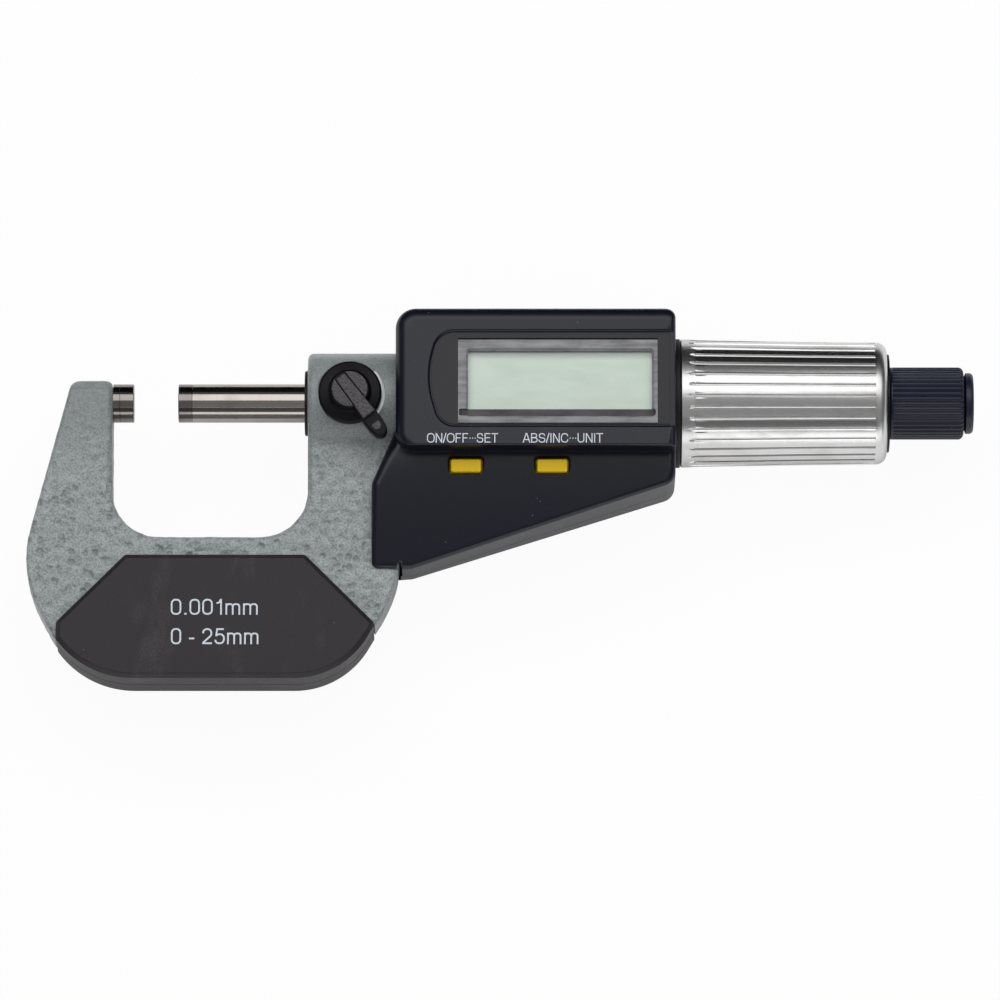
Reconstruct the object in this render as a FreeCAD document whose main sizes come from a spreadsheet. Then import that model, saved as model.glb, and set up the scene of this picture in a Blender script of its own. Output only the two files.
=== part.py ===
"""A digital outside micrometer, 0 to 25 mm, lying on its back.

The origin is the centre of the anvil's measuring face. +X runs along the spindle
towards the thimble, +Y points away from the grips and +Z is the display's side.
"""
import FreeCAD, Part
import math
import os
import Sketcher
from FreeCAD import Placement, Rotation, Vector

doc = FreeCAD.newDocument("outside_micrometer")
sheet = doc.addObject("Spreadsheet::Sheet", "Sizes")

# Driving dimensions in mm and degrees, each written once
SIZES = {
    # fits and clearances
    "run_fit": 0.05,
    "thread_fit": 0.1,
    "free_gap": 0.3,
    "seam_fit": 0.05,
    "cut_over": 1,
    # measuring line
    "spindle_dia": 6.5,
    "tip_length": 2.35,
    "gap_shown": 7.5,
    "travel": 25,
    "anvil_reach": 3.5,
    "anvil_shank_dia": 4,
    "anvil_shank_length": 5.6,
    # frame
    "web_thick": 9,
    "arm_top": 3.4,
    "arm_width": 6.9,
    "arm_inner_round": 0.8,
    "arm_outer_round": 1.8,
    "throat_width": 32.9,
    "throat_depth": 23.75,
    "throat_round": 8,
    "spine_width": 24.65,
    "heel_reach": 19.25,
    "heel_drop": 6.15,
    "heel_round": 19.6,
    "foot_left": 9.3,
    "foot_left_round": 16,
    "foot_setback": 9.7,
    "foot_right_round": 14.4,
    "hip_length": 15.65,
    "hip_drop": 8.4,
    "hip_round": 21.7,
    "web_chamfer": 0.7,
    "boss_radius": 8.45,
    "boss_chamfer": 0.6,
    "boss_step": 0.8,
    "hub_wall": 1.5,
    "hub_length": 12,
    # spindle lock
    "lock_setback": 7.7,
    "lock_angle": -53,
    "spot_depth": 0.95,
    "spot_margin": 0.4,
    "lock_disc_radius": 5.35,
    "lock_disc_thick": 1.5,
    "lock_hub_radius": 3.1,
    "lock_hub_height": 1.7,
    "lock_cap_setback": 0.5,
    "lock_cap_height": 0.3,
    "lock_stud_radius": 2,
    "lock_shoe_thick": 0.6,
    "lever_length": 9.9,
    "lever_width": 3.4,
    "lever_bar_length": 8,
    "lever_bar_width": 2.2,
    "lever_bar_height": 1,
    "lever_lift": 0.6,
    # wiper ring in the boss face
    "wiper_width": 2.2,
    "wiper_seat": 1.2,
    "wiper_proud": 0.55,
    # grips
    "grip_thick": 1.9,
    "grip_wall": 1.2,
    "grip_margin": 3.5,
    "grip_heel_gap": 6.5,
    "grip_hip_gap": 4.45,
    "grip_cheek": 9.6,
    "grip_edge": 0.7,
    "grip_screw_heel_gap": 13.8,
    "grip_screw_hip_gap": 14.25,
    "screw_radius": 1,
    "screw_head_radius": 1.9,
    "screw_head_thick": 1,
    "screw_bite": 1.2,
    "screw_slot_width": 0.45,
    # housing
    "box_lap": 0.8,
    "box_length": 47.1,
    "box_top": 13.55,
    "box_low": 10,
    "box_corner": 2.2,
    "box_front": 13,
    "box_back": 11.5,
    "box_edge": 1.6,
    "wing_front": 8,
    "wing_back": 7,
    "wing_lap": 4.85,
    "wing_shoulder": 15.5,
    "wing_bottom": 29.65,
    "wing_flat": 6.6,
    "wing_right_depth": 15.05,
    "wing_corner": 1.6,
    "wing_right_round": 2.5,
    "wing_edge": 0.6,
    "shell_split": 1.5,
    "shell_wall": 1.5,
    "front_wall": 1.8,
    "post_radius": 1.7,
    "rear_post_radius": 2.2,
    "case_screw_radius": 0.8,
    "case_head_radius": 1.5,
    "case_head_thick": 0.9,
    "post_left_inset": 3.95,
    "post_right_inset": 10.65,
    "post_top_inset": 2.9,
    "post_corner_inset": 6.55,
    "post_corner_drop": 2.5,
    "post_foot_inset": 9.6,
    "post_foot_lift": 5.5,
    "frame_screw_inset": 2.4,
    "frame_screw_lift": 7.5,
    # display
    "film_left_inset": 5.4,
    "film_right_inset": 0.95,
    "film_top_inset": 4,
    "film_low_inset": 3.35,
    "film_nose": 1.8,
    "film_nose_round": 12,
    "film_corner": 2,
    "film_recess": 0.5,
    "film_thick": 0.35,
    "film_fit": 0.15,
    "window_left_inset": 4.8,
    "window_right_inset": 1.75,
    "window_top_inset": 1.15,
    "window_low_inset": 0.5,
    "window_lap": 0.5,
    "window_thick": 0.9,
    "glass_left_inset": 0.9,
    "glass_right_inset": 0.35,
    "glass_top_inset": 0.95,
    "glass_low_inset": 1.1,
    "glass_thick": 1,
    "holder_rim": 0.8,
    "strip_width": 1,
    "strip_squeeze": 0.5,
    "board_thick": 0.8,
    "board_inset": 6.65,
    "board_high_margin": 0.7,
    "board_low_margin": 2.2,
    "chip_size": 7,
    "chip_thick": 1.1,
    "chip_inset": 13.5,
    # buttons
    "button_length": 5.1,
    "button_width": 2.15,
    "button_inset": 11.85,
    "button_pitch": 14.5,
    "button_drop": 2.5,
    "button_proud": 0.6,
    "button_travel": 0.4,
    "button_fit": 0.25,
    "button_flange": 0.5,
    "button_flange_thick": 0.6,
    "pad_base": 0.9,
    "pad_margin": 1.2,
    "key_board_thick": 0.8,
    # battery
    "battery_inset": 10.25,
    "battery_drop": 5.6,
    "battery_radius": 5.8,
    "battery_thick": 5.4,
    "battery_lift": 0.6,
    "well_wall": 1.2,
    "cover_margin": 0.8,
    "cover_thick": 0.95,
    "cover_slot_width": 1.2,
    "cover_slot_length": 9,
    "cover_slot_deep": 0.5,
    "seal_width": 0.6,
    "contact_thick": 0.3,
    "contact_width": 2,
    # barrel, nut and encoder
    "thread_step": 0.25,
    "thread_lead": 8,
    "nut_wall": 1,
    "nut_inset": 15.65,
    "nut_length": 12,
    "sleeve_wall": 1.5,
    "sleeve_tail": 0.5,
    "adjuster_lap": 6,
    "adjuster_length": 5,
    "adjuster_wall": 1.5,
    "bush_length": 4,
    "bush_setback": 0.5,
    "carrier_length": 2.9,
    "stator_thick": 1,
    "encoder_gap": 0.3,
    "encoder_room": 0.4,
    "rotor_thick": 1.1,
    "core_lap": 3.75,
    "core_bearing": 4.2,
    "core_wall": 1.45,
    "clip_thick": 0.8,
    "clip_groove": 0.5,
    "clip_wall": 0.8,
    "clip_room": 0.2,
    "driver_gap": 0.5,
    "driver_length": 3,
    "driver_flange": 1.9,
    "key_width": 1.5,
    "key_deep": 0.8,
    "key_high": 1.5,
    # thimble
    "ring_thick": 0.9,
    "thimble_wall": 1.42,
    "thimble_taper": 0.54,
    "thimble_length": 34.8,
    "thimble_back": 2.5,
    "thimble_round": 1.6,
    "groove_count": 34,
    "groove_width": 0.4,
    "groove_deep": 0.3,
    "groove_lead": 1.35,
    "groove_tail": 2.1,
    # ratchet
    "stem_radius": 3,
    "knob_gap": 0.5,
    "knob_length": 12.5,
    "knob_radius": 6.1,
    "knob_wall": 1.8,
    "knob_front": 2.6,
    "knob_groove_count": 40,
    "knob_groove_deep": 0.25,
    "knob_edge": 0.8,
    "cap_setback": 0.95,
    "cap_thick": 1.65,
    "cap_plug": 2.4,
    "cap_edge": 0.7,
    "plate_thick": 1.2,
    "plate_teeth": 12,
    "tooth_deep": 0.35,
    "spring_radius": 2.6,
    "spring_wire": 0.3,
    "spring_turns": 3,
    "ratchet_screw_radius": 1.3,
    "ratchet_head_radius": 3.4,
    "ratchet_head_thick": 1.2,
    "ratchet_head_room": 0.5,
}

# Places worked out from the sizes above
PLACES = {
    "axis_y": "0",
    "spindle_radius": "spindle_dia / 2",
    "spindle_bore": "spindle_radius + run_fit",
    "thread_radius": "spindle_radius + thread_step",
    "nut_bore": "thread_radius + thread_fit",
    "sleeve_bore": "thread_radius + nut_wall",
    "sleeve_radius": "sleeve_bore + sleeve_wall",
    "hub_radius": "sleeve_radius + hub_wall",
    "core_bore": "sleeve_radius + run_fit",
    "core_radius": "core_bore + core_wall",
    "thimble_bore": "core_radius + driver_flange",
    "thimble_radius": "thimble_bore + thimble_wall",
    "thimble_end_radius": "thimble_radius - thimble_taper",
    "anvil_base": "-anvil_reach",
    "anvil_shank_end": "anvil_base - anvil_shank_length",
    "anvil_shank_radius": "anvil_shank_dia / 2",
    "anvil_tip_back": "-tip_length",
    "tip_back": "gap_shown + tip_length",
    "web_half": "web_thick / 2",
    "web_back": "-web_half",
    "arm_outer": "anvil_base - arm_width",
    "throat_y": "-throat_depth",
    "frame_low": "throat_y - spine_width",
    "heel_x": "-heel_reach",
    "heel_y": "throat_y - heel_drop",
    "foot_left_x": "-foot_left",
    "boss_face": "anvil_base + throat_width",
    "hip_reach": "boss_face + hip_length",
    "hip_y": "throat_y - hip_drop",
    "foot_right": "hip_reach - foot_setback",
    "boss_inside": "hip_reach + boss_step",
    "hub_end": "boss_inside + hub_length",
    "wiper_radius": "spindle_bore + wiper_width",
    "wiper_front": "boss_face - wiper_proud",
    "wiper_back": "boss_face + wiper_seat",
    "grip_front_level": "web_half + grip_thick",
    "grip_back_level": "-grip_front_level",
    "grip_y": "throat_y - grip_margin",
    "grip_left_x": "heel_x + grip_heel_gap",
    "grip_right": "hip_reach - grip_hip_gap",
    "grip_knee_y": "frame_low + grip_cheek",
    "grip_shoulder": "grip_y - grip_knee_y",
    "grip_knee_left": "grip_left_x + grip_shoulder",
    "grip_knee_right": "grip_right - grip_shoulder",
    "grip_floor": "frame_low - grip_wall",
    "grip_screw_y": "(grip_y + frame_low) / 2",
    "grip_screw_left": "grip_left_x + grip_screw_heel_gap",
    "grip_screw_right": "grip_right - grip_screw_hip_gap",
    "box_left": "hip_reach - box_lap",
    "box_right": "box_left + box_length",
    "box_y": "-box_low",
    "box_z": "-box_back",
    "lock_place": "box_left - lock_setback",
    "spot_level": "boss_radius - spot_depth",
    "spot_radius": "lock_disc_radius + spot_margin",
    "lock_disc_low": "spot_level + free_gap",
    "lock_disc_top": "lock_disc_low + lock_disc_thick",
    "lock_hub_top": "lock_disc_top + lock_hub_height",
    "lock_cap_radius": "lock_hub_radius - lock_cap_setback",
    "shoe_low": "spindle_radius + run_fit",
    "stud_low": "shoe_low + lock_shoe_thick + run_fit",
    "stud_bore": "lock_stud_radius + run_fit",
    "wing_left": "hip_reach - wing_lap",
    "wing_z": "-wing_back",
    "split_z": "-shell_split",
    "wing_shoulder_y": "-wing_shoulder",
    "wing_y": "-wing_bottom",
    "wing_flat_end": "wing_left + wing_flat",
    "wing_right_y": "-wing_right_depth",
    "wing_join_y": "box_y / 2",
    "box_ceiling": "box_front - front_wall",
    "box_floor": "box_z + shell_wall",
    "wing_ceiling": "wing_front - shell_wall",
    "wing_floor": "wing_z + shell_wall",
    "cavity_left": "box_left + shell_wall",
    "cavity_right": "box_right - shell_wall",
    "cavity_top": "box_top - shell_wall",
    "cavity_low": "box_y + shell_wall",
    "wing_cavity_left": "hip_reach + shell_wall",
    "wing_cavity_low": "wing_y + 2 * shell_wall",
    "wing_cavity_flat": "wing_flat_end + shell_wall",
    "wing_cavity_right_y": "wing_right_y + 2 * shell_wall",
    "frame_room_x": "hip_reach + seam_fit",
    "frame_room_z": "web_half + seam_fit",
    "boss_room": "boss_radius + seam_fit",
    "core_room": "core_radius + free_gap",
    "post_left": "box_left + post_left_inset",
    "post_right": "box_right - post_right_inset",
    "post_high": "box_top - post_top_inset",
    "post_corner": "box_right - post_corner_inset",
    "post_corner_y": "box_y - post_corner_drop",
    "post_foot": "wing_left + post_foot_inset",
    "post_foot_y": "wing_y + post_foot_lift",
    "frame_screw_x": "hip_reach - frame_screw_inset",
    "frame_screw_y": "wing_y + frame_screw_lift",
    "film_left": "box_left + film_left_inset",
    "film_right": "box_right - film_right_inset",
    "film_top": "box_top - film_top_inset",
    "film_y": "box_y + film_low_inset",
    "film_shoulder": "film_left + film_nose",
    "film_middle": "(film_top + film_y) / 2",
    "film_level": "box_front - film_recess",
    "film_in_left": "film_left + film_fit",
    "film_in_shoulder": "film_shoulder + film_fit",
    "film_in_right": "film_right - film_fit",
    "film_in_top": "film_top - film_fit",
    "film_in_low": "film_y + film_fit",
    "window_left": "film_left + window_left_inset",
    "window_right": "film_right - window_right_inset",
    "window_top": "film_top - window_top_inset",
    "window_y": "film_y + window_low_inset",
    "window_level": "film_level - window_thick",
    "view_left": "window_left + window_lap",
    "view_right": "window_right - window_lap",
    "view_top": "window_top - window_lap",
    "view_low": "window_y + window_lap",
    "glass_left": "window_left + glass_left_inset",
    "glass_right": "window_right - glass_right_inset",
    "glass_top": "window_top - glass_top_inset",
    "glass_y": "window_y + glass_low_inset",
    "glass_level": "box_ceiling - glass_thick",
    "board_left": "box_left + board_inset",
    "board_high": "glass_top + board_high_margin",
    "board_y": "glass_y - board_low_margin",
    "board_level": "glass_level - strip_squeeze",
    "board_under": "board_level - board_thick",
    "chip_place": "box_left + chip_inset",
    "holder_left": "glass_left - holder_rim",
    "holder_right": "glass_right + holder_rim",
    "holder_top": "glass_top + holder_rim",
    "holder_low": "glass_y - holder_rim",
    "button_first": "box_left + button_inset",
    "button_second": "button_first + button_pitch",
    "button_y": "box_y - button_drop",
    "button_top": "wing_front + button_proud",
    "button_under": "wing_ceiling - button_flange_thick",
    "pad_floor": "button_under - button_travel - free_gap",
    "key_board_top": "pad_floor - pad_base",
    "key_board_low": "key_board_top - key_board_thick",
    "button_hole_length": "button_length + 2 * button_fit",
    "button_hole_width": "button_width + 2 * button_fit",
    "flange_length": "button_length + 2 * button_flange",
    "flange_width": "button_width + 2 * button_flange",
    "pocket_length": "flange_length + 2 * free_gap",
    "pocket_width": "flange_width + 2 * free_gap",
    "pad_left": "button_first - pocket_length / 2 - pad_margin",
    "pad_right": "button_second + pocket_length / 2 + pad_margin",
    "pad_high": "button_y + pocket_width / 2 + pad_margin",
    "pad_low": "button_y - pocket_width / 2 - pad_margin",
    "battery_x": "box_left + battery_inset",
    "battery_y": "box_y - battery_drop",
    "battery_low": "wing_floor + battery_lift",
    "battery_z": "battery_low + battery_thick",
    "well_radius": "battery_radius + free_gap",
    "well_outer": "well_radius + well_wall",
    "cover_radius": "battery_radius + cover_margin",
    "cover_room": "cover_radius + free_gap",
    "cover_top": "wing_z + cover_thick",
    "seal_low": "cover_top + run_fit",
    "seal_inner": "cover_radius - seal_width",
    "nut_start": "box_left + nut_inset",
    "nut_end": "nut_start + nut_length",
    "adjuster_start": "nut_end - adjuster_lap",
    "adjuster_end": "adjuster_start + adjuster_length",
    "adjuster_radius": "sleeve_radius + adjuster_wall",
    "core_start": "box_right - core_lap",
    "core_shoulder": "core_start + core_bearing",
    "clip_start": "core_shoulder + clip_room",
    "clip_end": "clip_start + clip_thick",
    "clip_radius": "sleeve_radius + clip_wall",
    "clip_seat": "sleeve_radius - clip_groove",
    "core_room_bore": "clip_radius + free_gap",
    "sleeve_end": "clip_end + sleeve_tail",
    "bush_end": "sleeve_end - bush_setback",
    "bush_start": "bush_end - bush_length",
    "rotor_start": "core_start - rotor_thick",
    "stator_end": "rotor_start - encoder_gap",
    "stator_start": "stator_end - stator_thick",
    "carrier_start": "stator_start - carrier_length",
    "encoder_radius": "board_under - encoder_room",
    "encoder_inner": "sleeve_radius + encoder_room",
    "driver_start": "sleeve_end + driver_gap",
    "driver_end": "driver_start + driver_length",
    "thread_start": "nut_start - thread_lead",
    "thread_room_start": "thread_start - gap_shown - thread_fit - run_fit",
    "thread_end": "driver_end + gap_shown + 2 * clip_room + thread_fit",
    "keyway_start": "driver_start - travel + gap_shown - 2 * clip_room",
    "keyway_width": "key_width + 2 * run_fit",
    "keyway_floor": "thread_radius - key_deep - run_fit",
    "key_low": "thread_radius - key_deep",
    "key_top": "thread_radius + key_high",
    "ring_end": "box_right + ring_thick",
    "thimble_start": "ring_end + run_fit",
    "thimble_end": "thimble_start + thimble_length",
    "thimble_inner_end": "thimble_end - thimble_back",
    "groove_start": "thimble_start + groove_lead",
    "groove_stop": "thimble_end - groove_tail",
    "knob_start": "thimble_end + knob_gap",
    "knob_end": "knob_start + knob_length",
    "knob_bearing": "stem_radius + run_fit",
    "knob_floor": "knob_start + knob_front",
    "knob_bore": "knob_radius - knob_wall",
    "knob_back": "knob_end - cap_plug",
    "stem_end": "knob_floor + 2 * run_fit",
    "cap_end": "knob_end + cap_thick",
    "cap_radius": "knob_radius - cap_setback",
    "plate_end": "stem_end + plate_thick",
    "plate_radius": "knob_bore - free_gap",
    "ratchet_head_end": "knob_back - ratchet_head_room",
    "spring_end": "ratchet_head_end - ratchet_head_thick",
    "spring_length": "spring_end - plate_end",
}


def fill_sheet():
    """Write every size as a plain number and every place as a formula."""
    row = 0
    for name, number in SIZES.items():
        row += 1
        sheet.set(f"A{row}", name)
        sheet.set(f"B{row}", str(number))
        sheet.setAlias(f"B{row}", name)
    for name, formula in PLACES.items():
        row += 1
        sheet.set(f"A{row}", name)
        sheet.set(f"B{row}", "=" + formula)
        sheet.setAlias(f"B{row}", name)
    doc.recompute()


def number(name):
    """The value of a size or place."""
    return float(sheet.get(name))


def tie(thing, **properties):
    """Bind properties to formulas of the sheet's names."""
    for name, formula in properties.items():
        words = formula.replace("(", " ( ").replace(")", " ) ").split()
        known = ["Sizes." + word if word in SIZES or word in PLACES else word for word in words]
        thing.setExpression(name.replace("__", "."), " ".join(known))


def move(thing, x=None, y=None, z=None):
    """Bind the position of a piece."""
    for letter, formula in (("x", x), ("y", y), ("z", z)):
        if formula is not None:
            tie(thing, **{"Placement__Base__" + letter: formula})
    return thing


# Primitive solids and booleans

def rod(name, radius, start, end, y=None, z=None):
    """A round bar along X."""
    bar = doc.addObject("Part::Cylinder", name)
    bar.Placement = Placement(Vector(0, 0, 0), Rotation(Vector(0, 1, 0), 90))
    tie(bar, Radius=radius, Height=f"{end} - ( {start} )")
    return move(bar, x=start, y=y, z=z)


def disc(name, radius, low, high, x=None, y=None):
    """A round bar along Z."""
    bar = doc.addObject("Part::Cylinder", name)
    tie(bar, Radius=radius, Height=f"{high} - ( {low} )")
    return move(bar, x=x, y=y, z=low)


def block(name, left, right, low, high, back, front):
    """A box between six planes."""
    box = doc.addObject("Part::Box", name)
    tie(box, Length=f"{right} - ( {left} )", Width=f"{high} - ( {low} )", Height=f"{front} - ( {back} )")
    return move(box, x=left, y=low, z=back)


def joined(name, *pieces):
    """One solid from several."""
    whole = doc.addObject("Part::MultiFuse", name)
    whole.Shapes = list(pieces)
    whole.Refine = True
    return whole


def grouped(name, *pieces):
    """Several solids kept apart in one object."""
    whole = doc.addObject("Part::Compound", name)
    whole.Links = list(pieces)
    return whole


def cut(name, base, *tools):
    """A solid with one or more tools taken away."""
    result = doc.addObject("Part::Cut", name)
    result.Base = base
    result.Tool = tools[0] if len(tools) == 1 else grouped(name + "_tools", *tools)
    result.Refine = True
    return result


def common(name, base, tool):
    """What two solids share."""
    result = doc.addObject("Part::Common", name)
    result.Base = base
    result.Tool = tool
    result.Refine = True
    return result


# Outlines with rounded corners

# Most of an edge that the rounds at its two ends may use together
ROUND_SHARE = 0.98


def corner_arc(before, corner, after, radius):
    """Tangent points, centre and turn of a round of this radius in a corner."""
    into = (corner - before).normalize()
    out = (after - corner).normalize()
    turn = math.atan2(into.x * out.y - into.y * out.x, into.x * out.x + into.y * out.y)
    reach = radius * math.tan(abs(turn) / 2)
    first = corner - into * reach
    last = corner + out * reach
    side = 1 if turn > 0 else -1
    centre = first + Vector(-into.y, into.x, 0) * radius * side
    return first, last, centre, side


def fitted_rounds(points, radii):
    """Shares of the radii that leave each edge some straight length."""
    count = len(points)
    reach = []
    for i in range(count):
        first = corner_arc(points[i - 1], points[i], points[(i + 1) % count], radii[i])[0]
        reach.append((first - points[i]).Length)
    shares = [1.0] * count
    for i in range(count):
        after = (i + 1) % count
        room = (points[after] - points[i]).Length * ROUND_SHARE
        used = reach[i] + reach[after]
        if used > room:
            shares[i] = min(shares[i], room / used)
            shares[after] = min(shares[after], room / used)
    return shares


def outline(name, corners):
    """A closed sketch on XY through (x, y) or (x, y, radius) corners, anticlockwise."""
    sketch = doc.addObject("Sketcher::SketchObject", name)
    count = len(corners)
    points = [Vector(number(c[0]), number(c[1]), 0) for c in corners]
    radii = [number(c[2]) if len(c) > 2 else 0.0 for c in corners]
    shares = fitted_rounds(points, radii)
    arcs = []
    for i in range(count):
        arcs.append(corner_arc(points[i - 1], points[i], points[(i + 1) % count], radii[i] * shares[i]))
    edges = [Part.LineSegment(arcs[i][1], arcs[(i + 1) % count][0]) for i in range(count)]
    sketch.addGeometry(edges, False)
    guides = [Part.LineSegment(points[i], points[(i + 1) % count]) for i in range(count)]
    sketch.addGeometry(guides, True)
    rounds = {}
    for i in range(count):
        if radii[i] == 0:
            continue
        first, last, centre, side = arcs[i]
        ends = (first, last) if side > 0 else (last, first)
        angles = [math.atan2(p.y - centre.y, p.x - centre.x) for p in ends]
        circle = Part.Circle(centre, Vector(0, 0, 1), radii[i] * shares[i])
        rounds[i] = sketch.addGeometry(Part.ArcOfCircle(circle, angles[0], angles[1]), False)
    rules = []
    names = {}
    for i in range(count):
        guide = count + i
        rules.append(Sketcher.Constraint("Coincident", guide, 2, count + (i + 1) % count, 1))
        names[len(rules)] = (f"x{i}", corners[i][0])
        rules.append(Sketcher.Constraint("DistanceX", -1, 1, guide, 1, points[i].x))
        names[len(rules)] = (f"y{i}", corners[i][1])
        rules.append(Sketcher.Constraint("DistanceY", -1, 1, guide, 1, points[i].y))
        if i in rounds:
            entry = 1 if arcs[i][3] > 0 else 2
            rules.append(Sketcher.Constraint("PointOnObject", i, 1, guide))
            before = (i - 1) % count
            rules.append(Sketcher.Constraint("PointOnObject", before, 2, count + before))
            rules.append(Sketcher.Constraint("Tangent", before, 2, rounds[i], entry))
            rules.append(Sketcher.Constraint("Tangent", i, 1, rounds[i], 3 - entry))
            names[len(rules)] = (f"round{i}", f"{corners[i][2]} * {shares[i]}")
            rules.append(Sketcher.Constraint("Radius", rounds[i], radii[i] * shares[i]))
        else:
            rules.append(Sketcher.Constraint("Coincident", i, 1, guide, 1))
            rules.append(Sketcher.Constraint("Coincident", (i - 1) % count, 2, guide, 1))
    sketch.addConstraint(rules)
    for index, (label, formula) in names.items():
        sketch.renameConstraint(index, label)
        tie(sketch, **{"Constraints__" + label: formula})
    return sketch


def slab(name, corners, low, high):
    """An outline extruded along Z between two levels."""
    sketch = outline(name + "_outline", corners)
    move(sketch, z=low)
    solid = doc.addObject("Part::Extrusion", name)
    solid.Base = sketch
    solid.DirMode = "Custom"
    solid.Dir = Vector(0, 0, 1)
    solid.Solid = True
    tie(solid, LengthFwd=f"{high} - ( {low} )")
    return solid


def turned(name, corners):
    """A profile of (station, radius) corners turned about the X axis."""
    sketch = outline(name + "_profile", corners)
    solid = doc.addObject("Part::Revolution", name)
    solid.Source = sketch
    solid.Axis = Vector(1, 0, 0)
    solid.Base = Vector(0, 0, 0)
    solid.Angle = 360
    solid.Solid = True
    return solid


def ring(name, inner, outer, start, end):
    """A plain turned ring."""
    return turned(name, [(start, inner), (end, inner), (end, outer), (start, outer)])


def broken_edges(kind, name, base, size, chosen):
    """Chamfer or fillet the edges that a test picks out."""
    doc.recompute()
    result = doc.addObject(kind, name)
    result.Base = base
    amount = number(size)
    picks = [i + 1 for i, edge in enumerate(base.Shape.Edges) if chosen(edge)]
    result.Edges = [(i, amount, amount) for i in picks]
    return result


def at_level(level):
    """A test for edges that lie in one horizontal plane."""
    height = number(level)
    return lambda edge: all(abs(v.Z - height) < 1e-5 for v in edge.Vertexes)


pieces = {}


def piece(node, thing):
    """Keep a finished sub-part under its node's name."""
    thing.Label = node
    pieces[node] = thing
    return thing


FRAME_CORNERS = [
    ("arm_outer", "arm_top", "arm_outer_round"),
    ("heel_x", "heel_y", "heel_round"),
    ("foot_left_x", "frame_low", "foot_left_round"),
    ("foot_right", "frame_low", "foot_right_round"),
    ("hip_reach", "hip_y", "hip_round"),
    ("hip_reach", "axis_y"),
    ("boss_face", "axis_y"),
    ("boss_face", "throat_y", "throat_round"),
    ("anvil_base", "throat_y", "throat_round"),
    ("anvil_base", "arm_top", "arm_inner_round"),
]

GRIP_ZONE = [
    ("grip_left_x", "grip_floor"),
    ("grip_right", "grip_floor"),
    ("grip_right", "grip_knee_y"),
    ("grip_knee_right", "grip_y"),
    ("grip_knee_left", "grip_y"),
    ("grip_left_x", "grip_knee_y"),
]


def inset_web(name, low, high):
    """The web's outline drawn in by the grips' wall."""
    sketch = outline(name + "_outline", FRAME_CORNERS)
    move(sketch, z=low)
    inner = doc.addObject("Part::Offset2D", name + "_inset")
    inner.Source = sketch
    inner.Join = 0
    inner.Fill = False
    tie(inner, Value="0 - grip_wall")
    solid = doc.addObject("Part::Extrusion", name)
    solid.Base = inner
    solid.DirMode = "Custom"
    solid.Dir = Vector(0, 0, 1)
    solid.Solid = True
    tie(solid, LengthFwd=f"{high} - ( {low} )")
    return solid


def grip_screw_bar(name, radius, low, high, place):
    """A round bar on a grip screw's axis."""
    return disc(name, radius, low, high, x=place, y="grip_screw_y")


def make_frame():
    """Forged U frame with arm, boss, hub and the seats of the grips."""
    web = slab("web", FRAME_CORNERS, "web_back", "web_half")
    for name, level in (("web_front_edge", "web_half"), ("web_back_edge", "web_back")):
        web = broken_edges("Part::Chamfer", name, web, "web_chamfer", at_level(level))
    core = inset_web("web_core", "grip_back_level", "grip_front_level")
    zone = slab("grip_recess_zone", GRIP_ZONE, "grip_back_level", "grip_front_level")
    web = cut("seated_web", web, cut("grip_recess", zone, core))
    boss = turned("boss", [
        ("boss_face", "anvil_shank_radius"),
        ("hub_end", "anvil_shank_radius"),
        ("hub_end", "hub_radius"),
        ("boss_inside", "hub_radius"),
        ("boss_inside", "boss_radius"),
        ("boss_face", "boss_radius", "boss_chamfer"),
    ])
    bores = [
        rod("anvil_bore", "anvil_shank_radius", "anvil_shank_end", "anvil_base"),
        rod("spindle_hole", "spindle_bore", "boss_face", "boss_inside"),
        rod("thread_room", "sleeve_bore", "thread_room_start", "boss_inside"),
        rod("sleeve_seat", "sleeve_radius", "boss_inside", "hub_end"),
        rod("wiper_seat_cut", "wiper_radius", "boss_face", "wiper_back"),
        disc("spot_face", "spot_radius", "spot_level", "boss_radius + cut_over", x="lock_place"),
        disc("lock_bore", "stud_bore", "axis_y", "spot_level", x="lock_place"),
        disc("frame_screw_hole", "case_screw_radius + free_gap", "web_back", "web_half",
             x="frame_screw_x", y="frame_screw_y"),
    ]
    for place in ("grip_screw_left", "grip_screw_right"):
        bores.append(grip_screw_bar(place + "_hole", "screw_radius + free_gap",
                                    "web_back", "web_half", place))
    piece("frame", cut("frame_body", joined("frame_blank", web, boss), *bores))


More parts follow.
